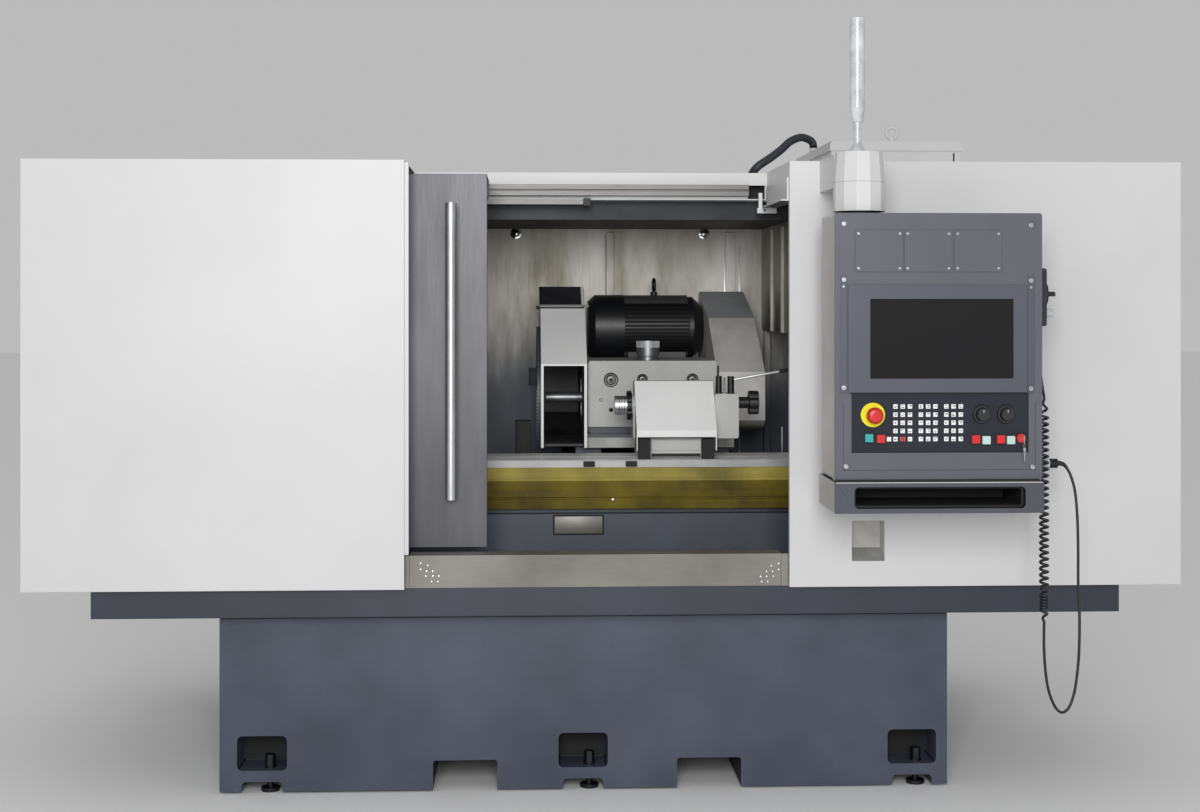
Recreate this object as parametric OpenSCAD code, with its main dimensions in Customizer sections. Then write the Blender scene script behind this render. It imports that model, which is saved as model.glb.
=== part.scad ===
// CNC cylindrical grinder with a sliding door and a swivelling operator pendant.
// Millimetres. X runs to the operator's right, Y to the rear, Z up. The origin is on the floor,
// in the middle of the machine's length and depth.

/* [Enclosure] */
// Length over both guards
overall_w = 3050; // [2900:10:3600]
// Distance of the guards' front sheets ahead of the origin
guard_front = 595; // [580:5:620]
// Height of the guards' top edge
guard_top = 1680; // [1640:5:1980]
// Left edge of the door opening
opening_x0 = -535; // [-620:5:-500]
// Right edge of the door opening
opening_x1 = 477; // [460:1:490]
// Depth of the left guard
left_guard_d = 1460; // [1450:5:1500]
// Depth of the right guard
right_guard_d = 830; // [600:5:840]
// Thickness of the sheet metal
sheet = 3; // [2:0.5:4]

/* [Base] */
// Height of the cast base
base_h = 480; // [460:5:485]
// Left end of the cast base
base_x0 = -1030; // [-1100:5:-1000]
// Right end of the cast base
base_x1 = 920; // [910:5:1000]
// Height of the drip deck above the base
deck_h = 76; // [60:1:90]
// Clearance under the base
foot_gap = 6; // [4:1:10]

/* [Table] */
// Length of the work table
table_len = 1600; // [1400:10:1680]
// Width of the work table
table_w = 250; // [220:5:252]
// Height of the table's top face
table_top = 850; // [845:1:853]
// Height of the work and wheel axes
axis_z = 1002; // [990:1:1010]

/* [Wheelhead] */
// Distance of the wheel spindle behind the work axis
wheel_y = 455; // [450:1:480]
// Radius of the wheel guard
wheel_guard_r = 280; // [250:5:285]
// Radius of the spindle nose
nose_r = 17.5; // [12:0.5:25]
// Radius of the motor over its fins
motor_r = 108; // [90:1:112]
// Pitch of the motor's cooling fins
fin_pitch = 12.5; // [10:0.5:16]

/* [Door] */
// Width of the sliding door
door_w = 1040; // [1000:5:1100]
// Right edge of the door when it is fully open
door_x1 = -321; // [-360:1:-310]
// Diameter of the handle bar
handle_d = 30; // [20:1:36]

/* [Pendant] */
// Width of the pendant case
pendant_w = 516; // [500:2:620]
// Height of the pendant case
pendant_h = 659; // [640:1:664]
// Depth of the pendant case
pendant_d = 192; // [160:1:200]
// Width of the screen
screen_w = 354; // [300:2:380]
// Height of the screen
screen_h = 195; // [160:1:210]
// Radius of the turning hub under the arm
hub_r = 65; // [50:1:70]

/* [Hidden] */

$fn = 64;
gap = 0.3;
fit = 0.05;
quill_r = 28;
tail_x0 = 105;
tail_x1 = 339 - gap;
lever_x = 390;
lever_y = -10;
knob_axis_z = axis_z + 7;

half_w = overall_w / 2;
fy = -guard_front;
deck_top = base_h + deck_h;
deck_floor = deck_top - 16;
deck_x0 = -1352;
deck_x1 = 1368;
deck_y0 = fy + 30;
deck_y1 = 900;
deck_bays = 9;
deck_pitch = (deck_x1 - deck_x0 - 22) / deck_bays;
base_y0 = fy + 100;
base_y1 = 800;
rear_y = max(fy + left_guard_d, wheel_y + wheel_guard_r + 70);
back_y = rear_y - 15;

window_x = [-918, -64, 824];
fork_x = [[-465, -294], [188, 361]];
window_w = 132;
window_z0 = 62;
window_z1 = 154;
jack_dx = 17.5;
jack_in = 40;

table_y0 = -124;
table_y1 = table_y0 + table_w;
lower_z0 = 710;
lower_z1 = 791;
bed_top = 696;
cross_y0 = 230;
slide_z0 = table_top + 6;
slide_z1 = slide_z0 + 44;

casting_x0 = -23;
casting_x1 = 377;
casting_y0 = 246;
casting_y1 = 580;
casting_z1 = 1125;
// Screw recesses on the casting's front, each [x, z, radius]
casting_recesses = [[48, 1066, 22], [145.5, 1068, 16], [301, 1067, 18]];
journal_r = 30;
pulley_x0 = 400;
pulley_x1 = 490;
wheel_pulley_r = 70;
motor_pulley_r = 55;
motor_y = 690;
motor_z = 1222;
motor_x0 = -7;
motor_x1 = 372;
belt_x1 = 528;

rail_y0 = -195;
rail_y1 = -165;
rail_z0 = 1610;
rail_z1 = 1642;
rail_x1 = 421;
beam_y1 = -105;
door_y = fy + 120;
door_z0 = 650;
door_z1 = 1651;

pend_x0 = 536;
pend_x1 = pend_x0 + pendant_w;
pend_y0 = -932;
pend_y1 = pend_y0 + pendant_d;
pend_z0 = 868;
pend_z1 = pend_z0 + pendant_h;
pivot_x = 614;
pivot_y = -844;
arm_z0 = 1596;
arm_z1 = 1682;
seam_z = 1607;
panel_y = pend_y0 + 3;
panel_z0 = 939;
panel_z1 = 1083;
estop_x = 632;
estop_z = 1031;
estop_front = panel_y - 44;
cab_back = -estop_front;
cab_x0 = 737;
cab_x1 = 1143;
cab_y0 = 265;
cab_top = 1809;

hose_d = 26;
hose_route = [[452, 254, 1574], [455, 254, 1625], [470, 257, 1674], [501, 266, 1723], [554, 330, 1760],
    [599, 405, 1792], [641, 485, 1826], [688, 580, 1848], [722, 645, 1850], [746, 686, 1842], [753, 700, 1823]];
hose_end = hose_route[len(hose_route) - 1];
cord_d = 7;
coil_d = 26;
coil_x = 1079;
coil_y = -856;
unit_x1 = pend_x1 + 26;
dial_y = -844;
dial_z = 1328;
coil_top = 1070;
coil_low = 500;
lead_top_route = [[1066, -856, 1246], [1066, -857, 1200], [1070, -856, 1130], [1079, -856, 1070]];
lead_low_route = [[1079, -856, 500], [1079, -856, 440], [1083, -856, 380], [1092, -855, 330],
    [1108, -854, 292], [1126, -852, 278], [1144, -850, 290], [1158, -848, 326], [1167, -846, 380],
    [1172, -844, 440], [1174, -840, 520], [1172, -836, 600], [1173, -832, 690], [1172, -828, 770],
    [1168, -822, 830], [1158, -818, 870], [1146, -815, 892], [1136, -815, 899], [1124, -815, 900]];

// Box between two corners
module box(x0, x1, y0, y1, z0, z1) {
    translate([x0, y0, z0]) cube([x1 - x0, y1 - y0, z1 - z0]);
}

// Round bars along each axis
module rod_x(x0, x1, y, z, r) {
    translate([x0, y, z]) rotate([0, 90, 0]) cylinder(h = x1 - x0, r = r);
}

module rod_y(y0, y1, x, z, r) {
    translate([x, y0, z]) rotate([-90, 0, 0]) cylinder(h = y1 - y0, r = r);
}

module rod_z(z0, z1, x, y, r) {
    translate([x, y, z0]) cylinder(h = z1 - z0, r = r);
}

// Flat outline with round corners
module round_rect(w, h, r) {
    translate([r, 0]) square([w - 2 * r, h]);
    translate([0, r]) square([w, h - 2 * r]);
    for (x = [r, w - r], y = [r, h - r]) translate([x, y]) circle(r = r, $fn = 32);
}

// Plate in the XZ plane with round corners, running back from y0
module face_plate(x0, x1, z0, z1, y0, y1, r) {
    translate([x0, y1, z0]) rotate([90, 0, 0])
        linear_extrude(height = y1 - y0) round_rect(x1 - x0, z1 - z0, r);
}

// Plate in the YZ plane from an outline of [y, z] points
module side_plate(x0, x1, points) {
    translate([x0, 0, 0]) rotate([90, 0, 90])
        linear_extrude(height = x1 - x0) polygon(points);
}

// ---------------------------------------------------------------- base

module base_casting() {
    color("#4a5060") difference() {
        box(base_x0, base_x1, base_y0, base_y1, foot_gap, base_h);
        // jack windows with their notches, front and rear
        for (x = window_x) for (side = [0, 1]) {
            y0 = side == 0 ? base_y0 - 1 : base_y1 - 120;
            jack_y = side == 0 ? base_y0 + jack_in : base_y1 - jack_in;
            face_plate(x - window_w / 2, x + window_w / 2, window_z0, window_z1, y0, y0 + 121, 14);
            face_plate(x - 54, x + 54, foot_gap - 30, 32, y0, y0 + 121, 12);
            rod_z(20, 70, x + jack_dx, jack_y, 9);
        }
        // fork lift passages
        for (x = fork_x)
            face_plate(x[0], x[1], -40, 84, base_y0 - 1, base_y1 + 1, 8);
        // jet line under the top edge
        box(base_x0 - 1, base_x1 + 1, base_y0 - 1, base_y0 + 4, base_h - 14, base_h - 10);
    }
}

module levelling_jacks() {
    color("#3a3c40") for (x = window_x) for (y = [base_y0 + jack_in, base_y1 - jack_in])
        translate([x + jack_dx, y, 0]) {
            // foot and screw, then flange and head on the window's floor
            cylinder(h = 10, r = 25);
            cylinder(h = window_z0, r = 8);
            translate([0, 0, window_z0]) cylinder(h = 5, r = 16);
            translate([0, 0, window_z0 + 5]) cylinder(h = 30, r = 14, $fn = 6);
        }
}

module drip_deck() {
    color("#454b5a") difference() {
        box(deck_x0, deck_x1, deck_y0, deck_y1, base_h, deck_top);
        box(deck_x0 + 18, deck_x1 - 18, deck_y0 + 18, deck_y1 - 18, deck_floor, deck_top + 1);
        // ribbed underside
        for (k = [0 : deck_bays - 1]) {
            x0 = deck_x0 + 18 + k * deck_pitch;
            box(x0, x0 + deck_pitch - 14, deck_y0 + 18, deck_y1 - 18, base_h - 1, deck_floor - 8);
        }
        // drain
        rod_z(base_h - 1, deck_floor + 1, 1100, 600, 30);
    }
}

module machine_bed() {
    color("#525a6b") {
        difference() {
            union() {
                box(-900, 900, table_y0, cross_y0, deck_floor, bed_top);
                // guide ways, flat at the front and raised prism at the rear
                box(-880, 880, -84, -34, bed_top, lower_z0);
                side_plate(-880, 880, [[50, bed_top], [110, bed_top], [90, 720], [70, 720]]);
                // cross bed that carries the wheelhead
                box(-90, 450, cross_y0, 820, deck_floor, slide_z0 - 30);
                for (x = [-60, 340]) box(x, x + 80, casting_y0 + 44, 820, slide_z0 - 31, slide_z0);
            }
            // coolant channel behind the ways
            box(-901, 901, 150, 200, bed_top - 40, bed_top + 1);
        }
        // blank plate frame on the bed's front
        difference() {
            face_plate(-138, 9, 636, 694, table_y0 - 4, table_y0, 3);
            face_plate(-130, 1, 644, 686, table_y0 - 5, table_y0 - 2, 2);
        }
    }
}

// ---------------------------------------------------------------- enclosure

module left_guard() {
    color("#dcdcdc") {
        difference() {
            box(-half_w, opening_x0, fy, rear_y, deck_top, guard_top);
            box(-half_w + sheet, opening_x0 + 1, fy + sheet, rear_y - sheet, deck_top - 1, guard_top - sheet);
        }
        // front return with its hemmed edge
        box(opening_x0, opening_x0 + 11, fy + 6, fy + 18, deck_top + 90, guard_top - 6);
        box(opening_x0 - 20, opening_x0, fy + sheet, fy + 18, deck_top + 90, guard_top - sheet);
    }
}

module right_guard() {
    gy1 = fy + right_guard_d;
    color("#dcdcdc") difference() {
        union() {
            difference() {
                box(opening_x1, half_w, fy, gy1, deck_top, guard_top);
                box(opening_x1 + sheet, half_w - sheet, fy + sheet, gy1 - sheet, deck_top - 1, guard_top - sheet);
            }
            // recessed pocket let into the front sheet
            box(640, 732, fy + 1, fy + 60, 621, 733);
        }
        box(643, 729, fy - 1, fy + 57, 624, 730);
        // the inner side is open behind its front strip and header
        box(opening_x1 - 1, opening_x1 + sheet + 1, fy + 20, gy1 + 1, deck_top - 1, 1580);
        box(opening_x1 - 1, opening_x1 + sheet + 1, -160, gy1 - sheet, 1579, guard_top - sheet);
        box(opening_x1 - 1, 617, gy1 - sheet - 1, gy1 + 1, deck_top - 1, guard_top - sheet);
    }
}

module cabin_lining() {
    color("#8b8884") {
        // back wall with a standing seam
        box(-1330, 600, back_y - sheet, back_y, deck_floor, 1560);
        box(62, 89, back_y - sheet - 2, back_y - sheet, deck_floor, 1545);
        box(471, 505, back_y - sheet - 10, back_y - sheet, deck_floor, 1545);
        // lower rear sheet that runs on to the cabinet
        box(600, cab_x0 - gap, back_y - sheet, back_y, deck_floor, 1210);
        // ceiling and header
        box(opening_x0, 600, beam_y1, back_y - sheet, 1557, 1560);
        box(opening_x0, 600, beam_y1, beam_y1 + sheet, 1545, 1600);
        // right wall, upper part only, with pressed ribs
        box(597, 600, -190, back_y - sheet, 1210, 1557);
        for (y = [0, 60, 320, 560]) box(587, 597, y, y + 24, 1210, 1545);
        // left wall behind the workhead
        box(-1330, -1327, -100, back_y - sheet, deck_floor, 1560);
        // gland of the conduit
        rod_z(1560, hose_route[0][2], hose_route[0][0], hose_route[0][1], 20);
        // foot of the right wall's posts
        for (y = [-190, 780]) box(597, 617, y, y + 20, deck_floor, 1210);
    }
}

module roof_beam() {
    color("#e4e4e4") difference() {
        box(opening_x0, opening_x1, rail_y1, beam_y1, 1600, guard_top - 2);
        box(opening_x0 - 1, opening_x1 + 1, rail_y1 + 4, beam_y1 - 4, 1604, guard_top - 6);
        // open corner beside the end of the rails
        box(rail_x1 + gap, opening_x1 - 4, rail_y1 - 1, rail_y1 + 5, 1599, rail_z1);
    }
}

module door_rails() {
    color("#b4b6b8") {
        // double guide rail
        difference() {
            box(-1380, rail_x1, rail_y0, rail_y1, rail_z0, rail_z1);
            box(-1381, rail_x1 + 1, rail_y0 - 1, rail_y0 + 5, rail_z0 + 14, rail_z0 + 18);
        }
        // short limit rail with its end block
        box(-1000, -52, rail_y0 + 8, rail_y1, 1585, 1599);
        box(-52, -32, rail_y0, rail_y1, 1581, 1603);
    }
}

module rail_bracket() {
    color("#d2d3d4") difference() {
        union() {
            // side plate, its flange below and the post at its rear end
            box(473, opening_x1, fy + 20, -180, 1576, 1638);
            box(457, 500, fy + 20, -180, 1576, 1580);
            box(448.5, 458.5, -196, -180, 1576, 1619);
            // lip across the rear end
            box(444, 500, -196, -180, 1561, 1576);
        }
        for (p = [[478, -291], [486, -349]]) rod_z(1575, 1581, p[0], p[1], 4.5);
    }
}

module front_sill() {
    color("#a8a6a2") {
        difference() {
            box(opening_x0 + 11, 458, fy + 25, fy + 95, deck_top, deck_top + 86);
            box(opening_x0 + 10, 459, fy + 28, fy + 96, deck_top - 1, deck_top + 83);
        }
        box(458, opening_x1, fy + 22, fy + 25, deck_top, deck_top + 86);
        box(458, 461, fy + 25, fy + 95, deck_top, deck_top + 86);
    }
}

module rear_cabinet() {
    color("#d6d6d6") difference() {
        union() {
            box(cab_x0, cab_x1, cab_y0, cab_back, deck_top, cab_top);
            // drip lip round the top
            box(cab_x0 - 4, cab_x1 + 4, cab_y0 - 4, cab_back, cab_top - 30, cab_top - 6);
        }
        box(cab_x0 + sheet, cab_x1 - sheet, cab_y0 + sheet, cab_back - sheet, deck_top + sheet, cab_top - sheet);
        // seam of the front sheet
        box(cab_x1 - 22, cab_x1 - 18, cab_y0 - 5, cab_y0 + 1, deck_top + 10, cab_top - 34);
    }
    // gland of the conduit
    color("#2c2e38") rod_z(cab_top, hose_end[2], hose_end[0], hose_end[1], 15);
    // lifting eye on the roof
    color("#dcdcdc") {
        rod_z(cab_top, cab_top + 10, 960, 420, 20);
        rod_z(cab_top + 10, cab_top + 26, 960, 420, 8);
        translate([960, 420, cab_top + 40]) rotate([90, 0, 0])
            rotate_extrude() translate([18, 0]) circle(r = 5.5, $fn = 32);
    }
}

// Sweeps a tube with n sides along a list of points; the flat ends are square to the route
function tube_dir(p, i) =
    let (a = p[max(i - 1, 0)], b = p[min(i + 1, len(p) - 1)], d = b - a) d / norm(d);
function tube_ring(c, d, r, n) =
    let (side = [0, 1, 0], u0 = cross(d, side), u = u0 / norm(u0), v = cross(d, u))
    [for (k = [0 : n - 1]) c + r * (cos(360 * k / n) * u + sin(360 * k / n) * v)];

// Smooth route through the given points, three steps to each span
function spline_at(p, i, t) =
    let (a = p[max(i - 1, 0)], b = p[i], c = p[i + 1], d = p[min(i + 2, len(p) - 1)])
    0.5 * (2 * b + (c - a) * t + (2 * a - 5 * b + 4 * c - d) * t * t
        + (3 * b - a - 3 * c + d) * t * t * t);
function smooth_route(p, steps) = concat(
    [for (i = [0 : len(p) - 2], s = [0 : steps - 1]) spline_at(p, i, s / steps)], [p[len(p) - 1]]);

module tube(route, d, n) {
    m = len(route);
    pts = [for (i = [0 : m - 1]) each tube_ring(route[i], tube_dir(route, i), d / 2, n)];
    walls = [for (i = [0 : m - 2], k = [0 : n - 1])
        [i * n + k, i * n + (k + 1) % n, (i + 1) * n + (k + 1) % n, (i + 1) * n + k]];
    polyhedron(pts, concat([[for (k = [0 : n - 1]) n - 1 - k]], walls,
        [[for (k = [0 : n - 1]) (m - 1) * n + k]]), convexity = 10);
}

// Corrugated conduit from the roof to the cabinet
module conduit_hose() {
    color("#2c2e38") tube(smooth_route(hose_route, 3), hose_d, 10);
}

module swivel_arm() {
    color("#e2e2e2") {
        difference() {
            box(557, 671, pivot_y + 30, fy, arm_z0, arm_z1 - 1);
            // room for the hub below the seam
            rod_z(arm_z0 - 1, seam_z + 4, pivot_x, pivot_y, hub_r + 1);
            // open rear end behind the flange
            box(563, 665, pivot_y + 90, fy - 8, arm_z0 + 6, arm_z1 - 6);
        }
        // twelve-sided bearing housing, narrower towards its top
        translate([pivot_x, pivot_y, seam_z]) rotate([0, 0, 15])
            cylinder(h = arm_z1 - seam_z, r1 = hub_r, r2 = hub_r - 6, $fn = 12);
    }
}

module lamp_pole() {
    color("#d8d9db") {
        translate([610, pivot_y, arm_z1]) cylinder(h = 22, r1 = 24, r2 = 10);
        rod_z(arm_z1 + 22, 1757, 610, pivot_y, 9);
        translate([610, pivot_y, 1757]) cylinder(h = 36, r1 = 13, r2 = 19);
    }
}

module lamp_lenses() {
    color("#c8cacd") for (k = [[1793, 1837], [1838, 1894], [1895, 1947], [1948, 1997]])
        rod_z(k[0], k[1] + 1, 610, pivot_y, 19);
    color("#c8cacd") rod_z(1998, 2018, 610, pivot_y, 18);
}

// ---------------------------------------------------------------- door

module sliding_door() {
    x0 = door_x1 - door_w;
    color("#7c7e86") {
        difference() {
            box(x0, door_x1, door_y, door_y + 20, door_z0, door_z1);
            // hollow back with a stiff rim
            box(x0 + 16, door_x1 - 16, door_y + 2, door_y + 21, door_z0 + 16, door_z1 - 16);
        }
        // top leaf that reaches back to the carriages
        box(x0, door_x1, door_y + 20, rail_y0 - 4, door_z1 - 3, door_z1);
        box(x0, door_x1, rail_y0 - 7, rail_y0 - 4, rail_z0 - 6, door_z1 - 3);
    }
}

module door_handle() {
    hx = -416;
    hy = door_y - 50;
    color("#d8dade") {
        rod_z(783, 1571, hx, hy, handle_d / 2);
        for (z = [830, 1524]) rod_y(hy + 8, door_y, hx, z, 11);
    }
}

module door_carriages() {
    color("#2c2d31") for (x = [door_x1 - door_w + 60, door_x1 - 520, door_x1 - 140])
        difference() {
            box(x, x + 90, rail_y0 - 4, rail_y1 - 2, rail_z0 - 6, rail_z1 + 4);
            box(x - 1, x + 91, rail_y0 - gap, rail_y1, rail_z0 - gap, rail_z1 + gap);
        }
}

// ---------------------------------------------------------------- table and heads

module lower_table() {
    color("#6f6626") difference() {
        box(-table_len / 2, table_len / 2, table_y0, table_y1, lower_z0 + gap, lower_z1);
        // prism groove and front way relief
        side_plate(-table_len, table_len, [[49, 700], [111, 700], [90.4, 720 + gap], [69.6, 720 + gap]]);
        // drip groove along the front
        box(-table_len, table_len, table_y0 - 1, table_y0 + 5, 738, 744);
        // socket of the swivel pin
        rod_z(lower_z1 - 22, lower_z1 + 1, 0, 0, 30 + fit);
    }
}

module upper_table() {
    z0 = lower_z1 + gap;
    color("#a0a0a2") difference() {
        box(-table_len / 2, table_len / 2, table_y0, table_y1, z0, table_top);
        // gutter behind the front lip
        box(-table_len, table_len, table_y0 + 14, table_y0 + 24, table_top - 8, table_top + 1);
        // clamping slot
        box(-table_len, table_len, -9, 9, table_top - 12, table_top + 1);
        box(-table_len, table_len, -16, 16, table_top - 26, table_top - 12);
        // step under the steel top
        box(-table_len, table_len, table_y0 - 1, table_y0 + 4, z0 + 8, table_top - 20);
    }
    color("#a0a0a2") rod_z(lower_z1 - 20, z0 + 1, 0, 0, 30);
    color("#2a2a2c") for (x = [-50, 72]) box(x, x + 32, table_y0 - 12, table_y0, table_top - 17, table_top - 2);
}

module workhead_body() {
    color("#d9dadb") difference() {
        union() {
            face_plate(-680, -400, table_top, axis_z + 110, -105, 85, 14);
            box(-700, -380, -115, 88, table_top, table_top + 30);
            rod_x(-400, -376, 0, axis_z, 62);
        }
        rod_x(-701, -370, 0, axis_z, 32 + fit);
        box(-681, -399, -106, -103, table_top + 120, table_top + 124);
    }
    // drive motor on the left end
    color("#25262a") difference() {
        rod_x(-860, -680, 0, axis_z, 86);
        rod_x(-861, -679, 0, axis_z, 34);
        for (a = [0 : 20 : 340]) translate([0, 0, axis_z]) rotate([a, 0, 0])
            box(-840, -700, -3, 3, 76, 90);
    }
}

module workhead_spindle() {
    color("#c4c6c8") difference() {
        union() {
            rod_x(-700, -376 + gap, 0, axis_z, 32);
            rod_x(-376 + gap, -358, 0, axis_z, 58);
            rod_x(-358, -342, 0, axis_z, 40);
        }
        rod_x(-701, -340, 0, axis_z, 13);
        for (a = [0 : 60 : 300]) translate([0, 0, axis_z]) rotate([a, 0, 0])
            translate([-366, 0, 48]) rotate([0, 90, 0]) cylinder(h = 10, r = 4);
    }
}

module tailstock_body() {
    color("#9c9c9a") difference() {
        union() {
            // long foot and clamps at the front
            box(110, 332, -60, 62, table_top, 908);
            for (x = [[111, 146], [297, 332]]) box(x[0], x[1], -98, -60, table_top, 909);
            box(151, 296, -66, -60, 874, 904);
            // quill barrel
            rod_x(95, 344, 0, axis_z, 32);
            box(100, 344, -30, 44, 908, axis_z);
            // notched clamping nut round the quill
            difference() {
                rod_x(82, 96, 0, axis_z, 43);
                for (k = [0 : 7]) translate([81, 0, axis_z]) rotate([45 * k + 22.5, 0, 0])
                    rod_x(0, 16, 0, 47, 9);
            }
            // handle end casting with its post and guide rod
            face_plate(339, 409, 907, 1037, -50, 50, 6);
            rod_z(1036, 1088, 355.5, 0, 9.3);
            rod_z(1087, 1118, 353.5, 0, 3);
            rod_z(1036, 1085, 372, 0, 2.6);
        }
        rod_x(81, 400, 0, axis_z, quill_r + fit);
        // undercut below the body
        box(151, 296, -99, 63, table_top - 1, table_top + 14);
        // plug on the casting's front
        rod_y(-51, -49, 371, 977, 7);
    }
}

module tailstock_cover() {
    color("#e0e0e0") difference() {
        side_plate(tail_x0, tail_x1, [[-105, 876], [-105, 934], [8, 1073], [56, 1073], [62, 1067], [62, 876]]);
        side_plate(tail_x0 + sheet, tail_x1 - sheet,
            [[-102, 875], [-102, 932.9], [9.4, 1070], [59, 1070], [59, 875]]);
        // open front below the fold, and room for the barrel in both side walls
        box(tail_x0 + sheet, tail_x1 - sheet, -106, -101, 875, 915);
        rod_x(tail_x0 - 1, tail_x1 + 1, 0, axis_z, 33);
        box(tail_x0 - 1, tail_x1 + 1, -31, 63, 875, axis_z);
        box(tail_x0 - 1, tail_x1 + 1, 0, 63, axis_z - 1, axis_z + 33);
    }
}

module tail_quill() {
    color("#cdd0d2") difference() {
        rod_x(46, 330, 0, axis_z, quill_r);
        rod_x(45, 140, 0, axis_z, 12);
        box(160, 300, -3, 3, axis_z + 24, axis_z + 29);
    }
}

module tail_lever() {
    color("#c8cacc") {
        // hub on the casting
        rod_z(1037 + gap, 1088, lever_x, lever_y, 10);
        // raised bar with its grip
        translate([lever_x, lever_y, 1076]) rotate([0, 80, 0]) {
            cylinder(h = 146, r = 4);
            translate([0, 0, 146]) cylinder(h = 35, r = 5.5);
        }
    }
}

module tail_knob() {
    color("#2a2b2e") difference() {
        union() {
            rod_x(409 + gap, 444, 0, knob_axis_z, 17);
            rod_x(444, 472, 0, knob_axis_z, 36);
        }
        // finger grips round the rim
        for (a = [0 : 60 : 300]) translate([0, 0, knob_axis_z]) rotate([a, 0, 0])
            translate([440, 0, 41]) rotate([0, 90, 0]) cylinder(h = 40, r = 11, $fn = 32);
    }
}

// ---------------------------------------------------------------- wheelhead

module wheelhead_slide() {
    color("#55575b") {
        difference() {
            box(-28, 430, 236, 812, slide_z0 + gap, slide_z1);
            box(60, 300, 300, 760, slide_z0, slide_z0 + 20);
        }
        // motor bed
        box(0, 366, 590, 790, slide_z1, motor_z - motor_r - 6);
    }
}

module wheelhead_casting() {
    color("#b0b0ae") difference() {
        union() {
            face_plate(casting_x0, casting_x1, slide_z1, casting_z1, casting_y0, casting_y1, 10);
            rod_x(casting_x0 - 5, casting_x0 + 1, wheel_y, axis_z, 60);
        }
        rod_x(casting_x0 - 6, casting_x1 + 1, wheel_y, axis_z, journal_r + fit);
        // screw recesses on the front face
        for (p = casting_recesses) rod_y(casting_y0 - 1, casting_y0 + 14, p[0], p[1], p[2]);
        rod_y(casting_y0 - 1, casting_y0 + 20, 48.5, 973, 6.5);
        // dark shadow step near the foot
        box(casting_x0 - 1, casting_x1 + 1, casting_y0 - 1, casting_y0 + 6, slide_z1 - 1, slide_z1 + 21);
    }
    // oil filler on the top
    color("#d8dade") {
        rod_z(casting_z1, casting_z1 + 14, 166, 300, 30);
        rod_z(casting_z1 + 14, casting_z1 + 62, 166, 300, 36);
    }
}

// Side outline of the wheel guard: a round rear and an upright front
guard_front_y = wheel_y - wheel_guard_r;
function wheel_outline(in) = concat(
    [[guard_front_y + in, 862 + in], [guard_front_y + in, 1118 - in * 0.46],
     [guard_front_y + 200 + in * 0.58, 1289 - in * 0.83]],
    [for (a = [90 : -10 : -20])
        [wheel_y + 30 + (wheel_guard_r - in) * cos(a), 1040 + (310 - in) * sin(a)]],
    [[wheel_y + 150, 862 + in]]);

module wheel_guard() {
    color("#dedede") difference() {
        union() {
            side_plate(-169, -28 - gap, wheel_outline(0));
            // rim of the side opening
            rod_x(-180, -168, wheel_y, axis_z, 226);
        }
        side_plate(-161, -37, wheel_outline(8));
        // wheel opening at the front
        box(-161, -37, guard_front_y - 1, guard_front_y + 60, 850, 1112);
        // spindle passage
        rod_x(-40, -28, wheel_y, axis_z, 62);
        // side opening for changing the wheel
        rod_x(-181, -160, wheel_y, axis_z, 205);
        box(-181, -170, wheel_y - 230, wheel_y + 230, 770, 862);
    }
    // dark cover sheet over the top front slope
    color("#26272a") side_plate(-172, -30, [[guard_front_y + 196, 1286], [wheel_y + 30, 1350],
        [wheel_y + 90, 1350], [wheel_y + 90, 1356], [wheel_y + 28, 1356], [guard_front_y + 191, 1291]]);
}

module wheel_spindle() {
    color("#d4d6d8") {
        rod_x(-150, casting_x0 - 6, wheel_y, axis_z, nose_r);
        rod_x(casting_x0 - 6, pulley_x1 + 8, wheel_y, axis_z, journal_r);
        pulley(wheel_y, axis_z, wheel_pulley_r, journal_r);
    }
}

// Grooved pulley for four V-belts
module pulley(y, z, r, bore) {
    translate([pulley_x0, y, z]) rotate([0, 90, 0]) rotate_extrude() polygon(concat(
        [[bore - 1, 0], [r, 0]],
        [for (k = [0 : 3]) each [[r, 8 + 20 * k], [r - 10, 13 + 20 * k], [r - 10, 17 + 20 * k], [r, 22 + 20 * k]]],
        [[r, pulley_x1 - pulley_x0], [bore - 1, pulley_x1 - pulley_x0]]));
}

// Outline round both pulleys at a distance r1 and r2 from their axes
module loop_outline(r1, r2) {
    hull() {
        translate([wheel_y, axis_z]) circle(r = r1);
        translate([motor_y, motor_z]) circle(r = r2);
    }
}

module drive_belt() {
    color("#1a1a1c") translate([pulley_x0 + 5, 0, 0]) rotate([90, 0, 90])
        linear_extrude(height = 80) difference() {
            loop_outline(wheel_pulley_r + 7, motor_pulley_r + 7);
            loop_outline(wheel_pulley_r + gap, motor_pulley_r + gap);
        }
}

belt_side = [[casting_y0, 940], [casting_y0, 1090], [506, 1255], [800, 1342], [822, 1330],
    [822, 1120], [600, 905], [300, 905]];
belt_inner = [[casting_y0 + 6, 944], [casting_y0 + 6, 1086], [508, 1249], [798, 1335], [816, 1326],
    [816, 1123], [597, 911], [303, 911]];

module belt_guard() {
    color("#8b8985") difference() {
        side_plate(casting_x1, belt_x1, belt_side);
        side_plate(casting_x1 + 4, belt_x1 - 4, belt_inner);
        rod_x(casting_x1 - 1, casting_x1 + 5, wheel_y, axis_z, journal_r + 3);
        rod_x(casting_x1 - 1, casting_x1 + 5, motor_y, motor_z, 24);
    }
}

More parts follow.
